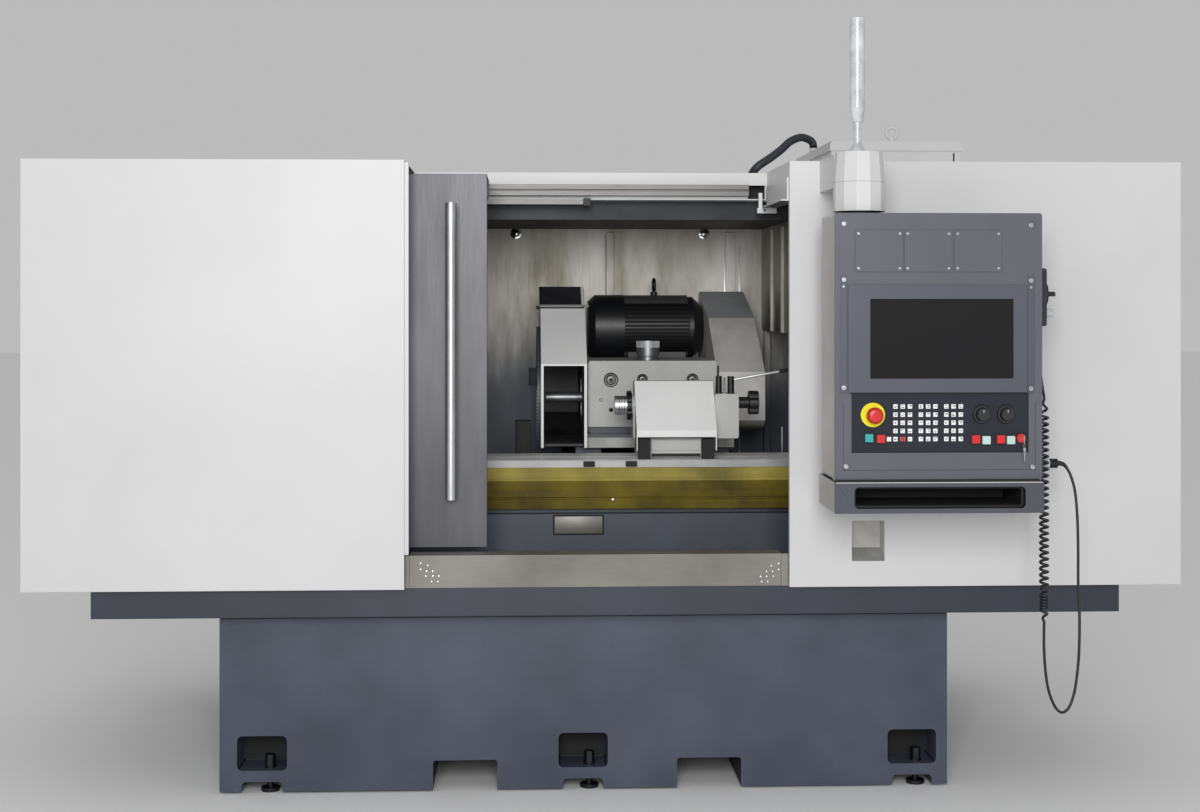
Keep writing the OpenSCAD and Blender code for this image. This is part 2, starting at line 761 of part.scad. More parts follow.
module drive_motor() {
    fin_x0 = motor_x0 + 118;
    fin_x1 = motor_x1 - 46;
    color("#1e1e21") translate([0, motor_y, motor_z]) {
        difference() {
            union() {
                rod_x(fin_x0 - 1, fin_x1 + 1, 0, 0, motor_r - 13);
                // level cooling fins on the sides, upright ones above and below
                intersection() {
                    rod_x(fin_x0 - 1, fin_x1 - 3, 0, 0, motor_r - 1);
                    union() {
                        for (k = [-6 : 6]) box(fin_x0 - 1, fin_x1, -motor_r, motor_r,
                            k * fin_pitch - 1.8, k * fin_pitch + 1.8);
                        for (k = [-4 : 4]) box(fin_x0 - 1, fin_x1, k * fin_pitch - 1.8,
                            k * fin_pitch + 1.8, -motor_r, motor_r);
                    }
                }
                // fan shroud and end bell, both drawn in at their ends
                rod_x(motor_x0 + 22, fin_x0, 0, 0, motor_r);
                translate([motor_x0, 0, 0]) rotate([0, 90, 0]) cylinder(h = 22, r1 = motor_r - 20, r2 = motor_r);
                rod_x(fin_x1, fin_x1 + 14, 0, 0, motor_r - 6);
                translate([fin_x1 + 14, 0, 0]) rotate([0, 90, 0])
                    cylinder(h = motor_x1 - fin_x1 - 14, r1 = motor_r - 6, r2 = motor_r - 36);
                // mounting feet
                box(motor_x0 + 130, motor_x1 - 60, -90, 90, -motor_r - 6, -80);
            }
            rod_x(motor_x1 - 60, motor_x1 + 1, 0, 0, 16);
        }
        // lifting eye
        rod_z(motor_r - 18, motor_r + 10, 214, 0, 11);
        translate([214, 0, motor_r + 33]) rotate([0, 90, 0])
            rotate_extrude() translate([18, 0]) circle(r = 6, $fn = 32);
    }
}

module motor_rotor() {
    color("#9a9c9e") {
        rod_x(motor_x1 - 56, pulley_x1 + 6, motor_y, motor_z, 14);
        pulley(motor_y, motor_z, motor_pulley_r, 14);
    }
}

// ---------------------------------------------------------------- pendant

module swivel_hub() {
    color("#dddddd") {
        rod_z(pend_z1, pend_z1 + 7, pivot_x, pivot_y, hub_r - 13);
        translate([pivot_x, pivot_y, pend_z1 + 6]) rotate([0, 0, 15])
            cylinder(h = seam_z - gap - pend_z1 - 6, r = hub_r, $fn = 12);
    }
}

module pendant_case() {
    color("#67676f") difference() {
        union() {
            face_plate(pend_x0, pend_x1, pend_z0, pend_z1, pend_y0, pend_y0 + 24, 7);
            face_plate(pend_x0 + 2, pend_x1 - 2, pend_z0 + 2, pend_z1 - 2, pend_y0 + 24, pend_y1, 7);
        }
        // recess that takes the operator panel
        face_plate(580, 1017, panel_z0, panel_z1, pend_y0 - 1, panel_y + 4, 4);
        // rear cover seam
        box(pend_x0 - 1, pend_x1 + 1, pend_y1 - 44, pend_y1 - 42, pend_z1 - 3, pend_z1 + 1);
        // holes of the push buttons behind the panel
        for (p = button_places) rod_y(panel_y - 1, panel_y + 30, p[0], p[1], 8.6);
        rod_y(panel_y - 1, panel_y + 36, estop_x, estop_z, 12);
        for (x = knob_x) rod_y(panel_y - 1, panel_y + 20, x, knob_z, 7);
        rod_y(panel_y - 1, panel_y + 30, key_x, key_z, 8);
    }
}

plate_x = [588, 709.5, 833];

module blank_covers() {
    color("#74747c") for (x = plate_x)
        face_plate(x, x + 118, 1382, 1485, pend_y0 - 3, pend_y0, 3);
}

// Screws on the case's front, each [x, z, radius, height of the strip under it]
case_screw_places = [[560, 1500, 6, 0], [1024, 1497, 6, 0], [560, 1363, 6, 1.5], [1024, 1361, 6, 1.5],
    [559, 1346, 3.5, 1.5], [1024, 1344, 3.5, 1.5], [560, 1098, 6, 1.5], [1024, 1095, 6, 1.5],
    [565, 905, 6, 0], [1028, 902, 6, 0]];

module case_screws() {
    color("#2a2a2e") {
        for (p = case_screw_places) rod_y(pend_y0 - 4, pend_y0 - p[3], p[0], p[1], p[2]);
        for (x = plate_x, u = [8, 110], z = [1391, 1476]) rod_y(pend_y0 - 5, pend_y0 - 3, x + u, z, 3.5);
    }
}

module screen_bezel() {
    color("#5a5a62") difference() {
        face_plate(570, 1014, 1086, 1350, pend_y0 - 5, pend_y0, 5);
        face_plate(802 - screen_w / 2 - gap, 802 + screen_w / 2 + gap, 1218 - screen_h / 2 - gap,
            1218 + screen_h / 2 + gap, pend_y0 - 6, pend_y0 - 2, 2);
    }
    // upright strips beside the bezel
    color("#5a5a62") for (x = [551, 1016]) box(x, x + 17, pend_y0 - 1.5, pend_y0, 1084, 1372);
}

module screen_glass() {
    color("#2a2a2e") face_plate(802 - screen_w / 2, 802 + screen_w / 2, 1218 - screen_h / 2,
        1218 + screen_h / 2, pend_y0 - 4, pend_y0 - 2, 2);
}

// Push button places: teal, red, left stop, left lamp, right stop, right lamp
button_places = [[621, 975], [650, 973], [885, 971], [911, 969], [947, 971], [972, 969]];
knob_x = [902, 962];
knob_z = 1032;
key_x = 998;
key_z = 973;

module operator_panel() {
    color("#42464f") difference() {
        face_plate(580 + gap, 1017 - gap, panel_z0 + gap, panel_z1 - gap, panel_y, panel_y + 4, 4);
        for (p = button_places) rod_y(panel_y - 1, panel_y + 5, p[0], p[1], 8.6);
        rod_y(panel_y - 1, panel_y + 5, estop_x, estop_z, 12);
        for (x = knob_x) rod_y(panel_y - 1, panel_y + 5, x, knob_z, 7);
        rod_y(panel_y - 1, panel_y + 5, key_x, key_z, 8);
    }
}

// Three groups of flat membrane keys
key_group_x = [688, 751, 814];

module membrane_key(x, z) {
    box(x - 5.5, x + 5.5, panel_y - 1.5, panel_y, z - 5.5, z + 5.5);
}

module membrane_keys() {
    color("#d8dadc") {
        for (gx = key_group_x, col = [0 : 2], row = [0 : 4]) membrane_key(gx + 18 * col, 971.5 + 20 * row);
        membrane_key(key_group_x[0] - 16, 971.5);
    }
}

module estop_ring() {
    color("#e8dc14") difference() {
        rod_y(panel_y - 3, panel_y, estop_x, estop_z, 30);
        rod_y(panel_y - 4, panel_y + 1, estop_x, estop_z, 12);
    }
}

module estop_button() {
    color("#cb2a26") {
        translate([estop_x, panel_y - 18, estop_z]) rotate([90, 0, 0])
            rotate_extrude() polygon([[0, 0], [18, 0], [20, 5], [20, 16], [16, 23], [8, 26], [0, 26]]);
        rod_y(panel_y - 18, panel_y + 18, estop_x, estop_z, 11);
    }
}

module push_button(place, shade) {
    color(shade) {
        face_plate(place[0] - 10, place[0] + 10, place[1] - 10, place[1] + 10, panel_y - 14, panel_y - 6, 2);
        rod_y(panel_y - 6, panel_y + 12, place[0], place[1], 8);
    }
}

module button_teal() { push_button(button_places[0], "#3aa0a0"); }
module button_red() { push_button(button_places[1], "#c84848"); }
module button_stop_left() { push_button(button_places[2], "#c84848"); }
module button_lamp_left() { push_button(button_places[3], "#b9d3cf"); }
module button_stop_right() { push_button(button_places[4], "#c84848"); }
module button_lamp_right() { push_button(button_places[5], "#b9d3cf"); }

module rotary_knob(x) {
    color("#1c1d20") {
        rod_y(panel_y - 8, panel_y - gap, x, knob_z, 22);
        translate([x, panel_y - 22, knob_z]) rotate([-90, 0, 0]) cylinder(h = 14, r1 = 15, r2 = 17);
        rod_y(panel_y - gap, panel_y + 14, x, knob_z, 6.6);
    }
}

module knob_left() { rotary_knob(knob_x[0]); }
module knob_right() { rotary_knob(knob_x[1]); }

module switch_key() {
    color("#c83a34") {
        rod_y(panel_y - 12, panel_y - gap, key_x, key_z, 11);
        rod_y(panel_y - gap, panel_y + 24, key_x, key_z, 7.5);
    }
    color("#b8babc") {
        box(key_x - 1.2, key_x + 1.2, panel_y - 24, panel_y - 12, key_z - 4, key_z + 4);
        box(key_x - 1.2, key_x + 1.2, panel_y - 38, panel_y - 24, key_z - 13, key_z + 9);
    }
}

module tray_box() {
    color("#5e616b") difference() {
        face_plate(533, 1052, 791, pend_z0, -950, -724, 4);
        face_plate(584, 1006, 803, 855, -951, -930, 10);
        face_plate(590, 1000, 809, 849, -931, -760, 4);
    }
}

module pulse_unit() {
    color("#1f2023") {
        // holder plate on the case's side
        box(pend_x1, pend_x1 + 4, -880, -808, 1240, 1395);
        difference() {
            union() {
                face_plate(pend_x1 + 4, unit_x1, 1248, 1392, -884, -804, 6);
                // stub for the lead
                rod_z(1246, 1248, pend_x1 + 14, coil_y, 7);
            }
            rod_x(unit_x1 - 10, unit_x1 + 1, dial_y, dial_z, 8);
        }
        // small selector cap
        rod_x(unit_x1, unit_x1 + 26, dial_y, 1281, 11);
    }
    // socket of the lead on the case's side
    color("#8e9094") {
        box(pend_x1, pend_x1 + 6, -839, -791, 876, 924);
        rod_x(pend_x1 + 6, pend_x1 + 30, -815, 900, 17);
        rod_x(pend_x1 + 30, pend_x1 + 72, -815, 900, 12);
    }
}

module pulse_dial() {
    color("#101113") {
        rod_x(unit_x1 + gap, unit_x1 + 8, dial_y, dial_z, 30);
        rod_x(unit_x1 - 8, unit_x1 + gap, dial_y, dial_z, 7.6);
        // crank knob
        rod_x(unit_x1 + 8, unit_x1 + 26, dial_y - 20, dial_z, 6);
    }
}

module curly_cord() {
    color("#17181a") rod_z(coil_low, coil_top, coil_x, coil_y, coil_d / 2);
}

module unit_lead() {
    color("#17181a") {
        tube(smooth_route(lead_top_route, 2), cord_d, 8);
        tube(smooth_route(lead_low_route, 3), cord_d, 8);
    }
}

base_casting();
levelling_jacks();
drip_deck();
machine_bed();
left_guard();
right_guard();
cabin_lining();
roof_beam();
door_rails();
rail_bracket();
front_sill();
rear_cabinet();
conduit_hose();
swivel_arm();
lamp_pole();
lamp_lenses();
sliding_door();
door_handle();
door_carriages();
lower_table();
upper_table();
workhead_body();
workhead_spindle();
tailstock_body();
tailstock_cover();
tail_quill();
tail_lever();
tail_knob();
wheelhead_slide();
wheelhead_casting();
wheel_guard();
wheel_spindle();
belt_guard();
drive_motor();
motor_rotor();
drive_belt();
swivel_hub();
pendant_case();
blank_covers();
case_screws();
screen_bezel();
screen_glass();
operator_panel();
membrane_keys();
estop_ring();
estop_button();
button_teal();
button_red();
button_stop_left();
button_lamp_left();
button_stop_right();
button_lamp_right();
knob_left();
knob_right();
switch_key();
tray_box();
pulse_unit();
pulse_dial();
curly_cord();
unit_lead();
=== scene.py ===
"""Looks, fine pieces, camera and light of a cylindrical grinder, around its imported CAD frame.

Lengths are in metres in the frame of the CAD model: X to the operator's right, Y to the rear, Z up.
"""

import logging
import math
import random
from collections.abc import Iterator
from contextlib import contextmanager
from dataclasses import dataclass
from enum import Enum

import bmesh
import bpy
from bmesh.types import BMesh
from bpy.types import ID, Material, Mesh, Node, NodeTree, Object
from mathutils import Matrix, Vector


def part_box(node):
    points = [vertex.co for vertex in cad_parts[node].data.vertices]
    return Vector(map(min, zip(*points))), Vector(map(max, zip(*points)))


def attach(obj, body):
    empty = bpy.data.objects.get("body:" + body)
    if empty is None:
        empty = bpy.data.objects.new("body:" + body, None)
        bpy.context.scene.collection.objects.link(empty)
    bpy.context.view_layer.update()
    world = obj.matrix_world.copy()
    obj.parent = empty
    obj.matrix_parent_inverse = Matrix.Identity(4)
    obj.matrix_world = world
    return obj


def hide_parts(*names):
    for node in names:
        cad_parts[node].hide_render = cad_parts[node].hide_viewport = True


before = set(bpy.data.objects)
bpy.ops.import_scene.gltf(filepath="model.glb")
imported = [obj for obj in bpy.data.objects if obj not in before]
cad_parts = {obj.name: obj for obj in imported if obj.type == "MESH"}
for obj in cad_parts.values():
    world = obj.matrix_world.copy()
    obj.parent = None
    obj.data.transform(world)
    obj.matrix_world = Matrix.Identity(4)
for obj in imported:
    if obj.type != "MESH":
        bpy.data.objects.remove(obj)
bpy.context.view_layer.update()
LOG = logging.getLogger("grinder")
MM = 0.001
Point = tuple[float, float, float]
WELD = 1e-6  # points nearer than this are one
FLAT_DEG = 0.5  # faces that meet at less are one plane
SAME_WAY = 0.7  # least cosine between a face's normal and the way it counts as facing
LEFT, RIGHT, FRONT, BACK, UP, DOWN = (-1, 0, 0), (1, 0, 0), (0, -1, 0), (0, 1, 0), (0, 0, 1), (0, 0, -1)


# ---- shader helpers


def linear(colour: str) -> tuple[float, float, float, float]:
    """Turn an sRGB hex colour into a linear one.

    Args:
        colour: Six hex digits, with or without a leading hash.

    Returns:
        Linear red, green, blue and an alpha of 1.
    """
    digits = colour.lstrip("#")
    values = [int(digits[i : i + 2], 16) / 255 for i in (0, 2, 4)]
    lin = [v / 12.92 if v <= 0.04045 else ((v + 0.055) / 1.055) ** 2.4 for v in values]
    return (lin[0], lin[1], lin[2], 1.0)


def add_node(tree: NodeTree, kind: str, attrs: dict | None = None, inputs: dict | None = None) -> Node:
    """Add a shader node with its settings and links.

    Args:
        tree: The node tree that takes the node.
        kind: The node's Blender type name, without its leading "ShaderNode".
        attrs: Settings of the node itself.
        inputs: Values for its sockets, or (node, output) pairs to link.

    Returns:
        The new node.
    """
    node = tree.nodes.new("ShaderNode" + kind)
    for key, value in (attrs or {}).items():
        setattr(node, key, value)
    for key, value in (inputs or {}).items():
        if isinstance(value, tuple) and isinstance(value[0], Node):
            tree.links.new(value[0].outputs[value[1]], node.inputs[key])
        else:
            node.inputs[key].default_value = value
    return node


class Grain(Enum):
    """Direction in which a metal was brushed or ground."""

    ALONG_X = (0.02, 1.0, 1.0)
    ALONG_Z = (1.0, 1.0, 0.02)
    NONE = (1.0, 1.0, 1.0)


@dataclass(frozen=True)
class Finish:
    """A surface finish: its colour, its sheen and the size of its grain.

    Fine gives the size in millimetres and the tint of the noise that colours, roughens and embosses the
    surface; mottle gives those of a slow change over decimetres, as handling and uneven coating leave,
    and as painted reflection on the door.
    Drawn, from 1 down to 0, pulls the mottle out into streaks along the grain. A darkening towards the
    foot is painted shade, full below the first of its two heights and gone above the second.
    """

    name: str
    colour: str
    slot: str
    second: str = ""
    metallic: float = 0.0
    roughness: float = 0.42
    ior: float = 1.5
    coat: float = 0.0
    fine: tuple[float, float] = (1.5, 0.04)
    fine_rough: float = 0.06
    bump_mm: float = 0.01
    mottle: tuple[float, float] = (220, 0.05)
    grain: Grain = Grain.NONE
    drawn: float = 1.0
    low_shade: str = ""
    low_shade_z: tuple[float, float] = (0.0, 1.0)

    def add_low_shade(self, tree: NodeTree, coord: Node, slow: tuple[Node, str], tone: Node) -> Node:
        """Mix the painted shade's colour in towards the foot, with a ragged edge.

        Args:
            tree: The material's node tree.
            coord: Its texture coordinates.
            slow: Its slow noise and the output to link.
            tone: The colour mix without the painted shade.

        Returns:
            The node whose result is the colour with the painted shade.
        """
        axes = add_node(tree, "SeparateXYZ", inputs={0: (coord, "Object")})
        ragged = add_node(tree, "Math", {"operation": "MULTIPLY_ADD"}, {0: slow, 1: 0.5, 2: -0.25})
        height = add_node(tree, "Math", {"operation": "ADD"}, {0: (axes, "Z"), 1: (ragged, 0)})
        foot, top = self.low_shade_z
        fade = {"Value": (height, 0), "From Min": foot, "From Max": top, "To Min": 1.0, "To Max": 0.0}
        amount = add_node(tree, "MapRange", {"interpolation_type": "SMOOTHSTEP"}, fade)
        shade_mix = {0: (amount, "Result"), 6: (tone, 2), 7: linear(self.low_shade)}
        return add_node(tree, "Mix", {"data_type": "RGBA"}, shade_mix)

    def build(self) -> Material:
        """Make the node material, or find it where it was already made.

        Returns:
            The material.
        """
        made = bpy.data.materials.get(self.name)
        if made:
            return made
        mat = bpy.data.materials.new(self.name)
        mat.use_nodes = True
        tree = mat.node_tree
        tree.nodes.clear()
        coord = add_node(tree, "TexCoord")
        streak = tuple(max(g, self.drawn) for g in self.grain.value)
        noises = []
        for scale, size_mm, detail, weight in (
            (self.grain.value, self.fine[0], 3.0, 0.6),
            (streak, self.mottle[0], 4.0, 0.55),
        ):
            place = add_node(tree, "Mapping", inputs={"Vector": (coord, "Object"), "Scale": scale})
            cells = {"Scale": 1.0 / (size_mm * MM), "Detail": detail, "Roughness": weight}
            noises.append((add_node(tree, "TexNoise", inputs={"Vector": (place, "Vector"), **cells}), "Fac"))
        fine, slow = noises
        # Most of a noise's values lie in its span
        slow_span, fine_span = {"From Min": 0.3, "From Max": 0.7}, {"From Min": 0.25, "From Max": 0.75}
        swing, tint, rough = 2 * self.mottle[1], 2 * self.fine[1], self.fine_rough
        dark = tuple(c * (1 - swing) for c in linear(self.second or self.colour)[:3]) + (1.0,)
        light = tuple(min(1.0, c * (1 + swing)) for c in linear(self.colour)[:3]) + (1.0,)
        spread = add_node(tree, "MapRange", inputs={"Value": slow, **slow_span})
        tone = add_node(tree, "Mix", {"data_type": "RGBA"}, {0: (spread, "Result"), 6: dark, 7: light})
        if self.low_shade:
            tone = self.add_low_shade(tree, coord, slow, tone)
        common = {"Value": fine, **fine_span}
        shade = add_node(tree, "MapRange", inputs={**common, "To Min": 1 - tint, "To Max": 1 + tint})
        low, high = max(0.02, self.roughness - rough), min(1.0, self.roughness + rough)
        sheen = add_node(tree, "MapRange", inputs={**common, "To Min": low, "To Max": high})
        base = {0: (tone, 2), "Scale": (shade, "Result")}
        inputs: dict = {
            "Base Color": (add_node(tree, "VectorMath", {"operation": "SCALE"}, base), 0),
            "Roughness": (sheen, "Result"),
            "Metallic": self.metallic,
            "Coat Weight": self.coat,
            "Coat Roughness": 0.12,
        }
        if self.metallic < 0.5:
            inputs["IOR"] = self.ior
        relief = {"Height": fine, "Strength": 0.6, "Distance": self.bump_mm * MM}
        inputs["Normal"] = (add_node(tree, "Bump", inputs=relief), "Normal")
        bsdf = add_node(tree, "BsdfPrincipled", inputs=inputs)
        add_node(tree, "OutputMaterial", inputs={"Surface": (bsdf, "BSDF")})
        return mat


# The real grain of brushing, grinding, moulding and powder is a fraction of a millimetre, too fine to show,
# so every finish draws it coarser, at 1.2 mm or more.

# Polyester powder coat on sheet steel: a soft satin with a faint orange peel
GUARD_WHITE = Finish(
    "powder_coat_light_grey", "#CFCFD0", "white_sheet", "#CBCBCC", fine=(4, 0.006), bump_mm=0.02,
    mottle=(500, 0.008)
)
# The same coat on the recess's ramp, darkened with painted shade
GUARD_SHADE = Finish(
    "powder_coat_ramp_shade", "#A2A2A1", "white_sheet", "#949493", roughness=0.5, fine=(4, 0.02), bump_mm=0.02,
    mottle=(60, 0.05)
)
# The same coat in the right guard's recess, darkened with painted shade
GUARD_RECESS_SHADE = Finish(
    "powder_coat_recess_shade", "#C6C4C0", "white_sheet", "#B9B7B3", roughness=0.5, fine=(4, 0.01), bump_mm=0.02,
    mottle=(60, 0.03)
)
# Two-part enamel on rough cast iron: low lumps of the sand mould show through the gloss
CAST_BLUE = Finish(
    "enamelled_cast_iron_blue_grey", "#454B5A", "cast_paint", "#3A4050", roughness=0.38, fine=(9, 0.02),
    bump_mm=0.25, mottle=(260, 0.05)
)
# The same enamel on the drip deck's rolled plate: darker with painted shade, with smaller and lower lumps
DECK_BLUE = Finish(
    "enamelled_plate_painted_shade", "#303541", "deck_paint", "#2A2F39", roughness=0.36, fine=(6, 0.015),
    bump_mm=0.06, mottle=(300, 0.04)
)
# Black-oxidised steel, and painted shade in the quill's grooves and the casting's recess rims: near black
# with a dull sheen
BLACK_STEEL_AND_SHADE = Finish(
    "black_oxide_steel_and_painted_shade", "#34363A", "steel_dark", metallic=0.9, fine=(1.5, 0.08), bump_mm=0.02,
    mottle=(60, 0.05)
)
# Stainless sheet with a 2B mill finish, brushed upright: blurred reflections, faint stains, and painted
# shade and painted dark reflections towards the foot
LINING_STEEL = Finish(
    "stainless_sheet_brushed", "#BCB9B5", "stainless", "#968F79", metallic=0.4, roughness=0.45,
    fine=(1.6, 0.06), mottle=(130, 0.14), grain=Grain.ALONG_Z, drawn=0.3, low_shade="#4A4E56", low_shade_z=(0.95, 1.36)
)
# Stainless sill and blanking plate, brushed lengthways: darker, with fine streaks along them
SILL_STEEL = Finish(
    "stainless_sill_brushed", "#7F7D78", "stainless", "#726F6A", metallic=0.5, roughness=0.45,
    fine=(1.6, 0.05), mottle=(300, 0.08), grain=Grain.ALONG_X
)
# Anodised aluminium extrusion: even pale metal with drawing lines along it
RAIL_ALUMINIUM = Finish(
    "anodised_aluminium_rail", "#666564", "rail_aluminium", metallic=0.6, fine=(1.2, 0.05),
    grain=Grain.ALONG_X
)
# Corrugated polyamide conduit: matte and slightly blue-black
HOSE_BLACK = Finish(
    "polyamide_conduit_black", "#2C2E38", "hose_black", roughness=0.5, fine=(2, 0.05), bump_mm=0.02
)
# Polycarbonate lamp housings under a pale milky skin
LAMP_GREY = Finish(
    "polycarbonate_lamp_silver", "#C6C8CB", "lamp_plastic", "#B4B6BA", roughness=0.25, coat=0.3,
    fine=(2, 0.02), mottle=(40, 0.08)
)
# Satin stainless door skin: a cool sheen with upright streaks of painted reflection
DOOR_STEEL = Finish(
    "stainless_door_satin", "#545357", "door_steel", "#434449", metallic=0.5, fine=(1.4, 0.06),
    mottle=(150, 0.1), grain=Grain.ALONG_Z, drawn=0.2
)
# Satin-turned bright steel: broad soft highlights
BRIGHT_STEEL = Finish(
    "turned_bright_steel", "#C9CBCE", "bright_bar", metallic=0.9, roughness=0.3, fine=(1.5, 0.03),
    bump_mm=0.006, mottle=(60, 0.05)
)
# Bright chrome plate: clear mirror-like reflections
CHROME = Finish(
    "chrome_plated_steel", "#DFE1E4", "bright_bar", metallic=1.0, roughness=0.1, fine=(1.5, 0.02),
    fine_rough=0.03, bump_mm=0.002, mottle=(120, 0.05)
)
# Surface-ground tool steel: pale, with fine lines along the table
GROUND_STEEL = Finish(
    "ground_steel_table", "#9C9B9B", "table_steel", metallic=0.45, fine=(1.2, 0.08), mottle=(160, 0.08),
    grain=Grain.ALONG_X
)
# Upper face of the table, paler than its edge: a painted reflection of bright surroundings at a glancing
# angle
TABLE_FACE = Finish(
    "table_face_painted_reflection", "#F2F1F0", "table_steel", roughness=0.4, fine=(1.2, 0.05), bump_mm=0.008,
    mottle=(160, 0.05), grain=Grain.ALONG_X
)
# Knurled and machined steel, dulled by oil
DULL_STEEL = Finish(
    "knurled_steel_dull", "#8F9092", "bright_bar", metallic=0.85, fine=(1.5, 0.06), mottle=(30, 0.1)
)
# Satin chrome of the clamping lever: pale, with soft highlights
SATIN_CHROME = Finish(
    "satin_chrome_lever", "#ECEDEE", "bright_bar", metallic=0.6, roughness=0.3, fine=(1.5, 0.02),
    bump_mm=0.003, mottle=(80, 0.05)
)
# Way flanks under a film of amber preservative oil: streaked olive yellow with a wet sheen
OIL_LIGHT = Finish(
    "preservative_oil_on_steel_light", "#978A3E", "table_oiled", "#7A7138", metallic=0.1, roughness=0.5,
    ior=1.3, fine=(7, 0.08), bump_mm=0.03, mottle=(150, 0.12), grain=Grain.ALONG_X
)
# The same oil over the whole lower table: darker, browner and a little duller
OIL_DARK = Finish(
    "preservative_oil_on_steel_dark", "#675A08", "table_oiled", "#4A4006", metallic=0.1, roughness=0.55,
    ior=1.3, fine=(7, 0.1), bump_mm=0.03, mottle=(150, 0.14), grain=Grain.ALONG_X
)
# Spray enamel on machined castings: clean light grey
HEAD_PAINT = Finish(
    "enamelled_casting_light_grey", "#BCBCB9", "head_paint", "#B4B4B1", roughness=0.4, fine=(7, 0.012),
    bump_mm=0.08, mottle=(180, 0.03)
)
# White stove enamel of the guard and cover in the cabin, brighter than the outer sheets: painted light
# against the cabin's shade
HEAD_WHITE = Finish(
    "stove_enamel_white_painted_light", "#EFEFEE", "white_sheet", "#EAEAEA", fine=(4, 0.006), bump_mm=0.02,
    mottle=(200, 0.01)
)
# Bare cast iron with machined faces: mid grey, slightly mottled
CAST_GREY = Finish(
    "machined_cast_iron_grey", "#8E8E8B", "cast_grey", "#7D7E7C", metallic=0.6, roughness=0.45,
    fine=(3, 0.06), bump_mm=0.04, mottle=(90, 0.08)
)
# Moulded phenolic grips and knobs: deep black with a soft shine
GRIP_BLACK = Finish("moulded_phenolic_black", "#17181A", "grip_black", roughness=0.48)
# Baked enamel on the finned motor frame: black, with a soft and slightly blotchy sheen
MOTOR_BLACK = Finish(
    "baked_enamel_motor_black", "#17181B", "motor_black", roughness=0.4, fine=(4, 0.05), bump_mm=0.05,
    mottle=(90, 0.08)
)
# Grey enamel on folded sheet: a pale, even satin, lightened as painted light against the cabin's shade
BELT_GREY = Finish(
    "enamelled_sheet_grey_painted_light", "#E2E0DD", "guard_grey", "#D4D2CF", fine=(4, 0.02), bump_mm=0.02,
    mottle=(160, 0.06)
)
# Moulded neoprene V-belts: dull black
BELT_RUBBER = Finish("neoprene_belt_black", "#17181A", "belt_rubber", roughness=0.7, bump_mm=0.03)
# Fine-textured epoxy powder on the pendant's steel case: slate grey with a broken sheen
PENDANT_GREY = Finish(
    "epoxy_powder_slate_grey", "#565860", "pendant_grey", "#54555D", roughness=0.5, fine=(2.2, 0.02),
    bump_mm=0.05, mottle=(260, 0.02)
)
# The same powder on the screen's bezel: a shade darker and smoother
PLATE_GREY = Finish(
    "epoxy_powder_cover_grey", "#4C4E59", "cover_grey", "#4A4C57", roughness=0.46, fine=(2.2, 0.02),
    bump_mm=0.04, mottle=(200, 0.02)
)
# The same powder on the tray: the darkest of the three
TRAY_GREY = Finish(
    "epoxy_powder_tray_grey", "#464851", "cover_grey", "#42444D", roughness=0.46, fine=(2.2, 0.02),
    bump_mm=0.04, mottle=(200, 0.03)
)
# Dark hard-coated display glass: black, with clear reflections
SCREEN_GLASS = Finish(
    "display_glass_black", "#0E0E11", "screen_black", roughness=0.14, fine=(3, 0.01), fine_rough=0.02,
    bump_mm=0.001
)
# Polyester overlay film: dark, even and matte
PANEL_FILM = Finish(
    "polyester_overlay_dark", "#2B2E36", "panel_grey", roughness=0.6, ior=1.25, fine=(1.5, 0.015),
    mottle=(150, 0.02)
)
# Screen-printed key fields of the membrane: an even white, slightly cool
KEY_WHITE = Finish("printed_key_white", "#E2E4E6", "key_white", roughness=0.45, fine=(1.5, 0.01))
# Glossy moulded ABS in signal colours
SIGNAL_YELLOW = Finish(
    "abs_signal_yellow", "#EADF14", "signal_yellow", roughness=0.3, fine=(1.5, 0.01), bump_mm=0.005,
    mottle=(30, 0.01)
)
# The same ABS in red, on the stop keys and the stop button
SIGNAL_RED = Finish(
    "abs_signal_red", "#C92B27", "signal_red", roughness=0.28, fine=(1.5, 0.01), bump_mm=0.005,
    mottle=(30, 0.02)
)
# The same ABS in teal, on one key
SIGNAL_TEAL = Finish(
    "abs_signal_teal", "#3AA0A0", "signal_teal", roughness=0.28, fine=(1.5, 0.01), bump_mm=0.005,
    mottle=(30, 0.02)
)
# Moulded ABS lenses of the lamp keys, unlit: pale green with a plastic gloss
LAMP_PALE = Finish(
    "abs_lens_pale_green", "#B9D3CF", "lamp_pale", roughness=0.25, fine=(1.5, 0.01), bump_mm=0.005,
    mottle=(30, 0.02)
)
# Moulded polyurethane cord jacket: black with a soft sheen
CORD_BLACK = Finish("polyurethane_cord_black", "#191A1D", "cord_black")
# Screen-printed ink of the key marks: near black with little shine
INK_DARK = Finish("printed_ink_dark", "#24262B", "grip_black", roughness=0.5, bump_mm=0.03)
# Moulded rubber, and painted shade in gaps and hollows too deep to light: black with hardly any sheen
RUBBER_BLACK_AND_SHADE = Finish(
    "rubber_black_and_painted_shade", "#101113", "belt_rubber", roughness=0.7, fine=(2, 0.04), bump_mm=0.02
)
# Underside of the cabin roof: steel darkened with painted shade
CEILING_SHADE = Finish(
    "stainless_roof_painted_shade", "#37393A", "stainless", "#2C2D2F", metallic=0.6, roughness=0.55, fine=(2, 0.04),
    mottle=(200, 0.1)
)
# Slate enamel where castings step back over their slides, and painted shade on the left sides of the
# tailstock cover and wheel guard: mid grey with little shine
BAND_DARK = Finish(
    "slate_band_and_side_shade", "#50545C", "deck_paint", "#484C55", roughness=0.45, fine=(5, 0.02), bump_mm=0.05,
    mottle=(120, 0.04)
)
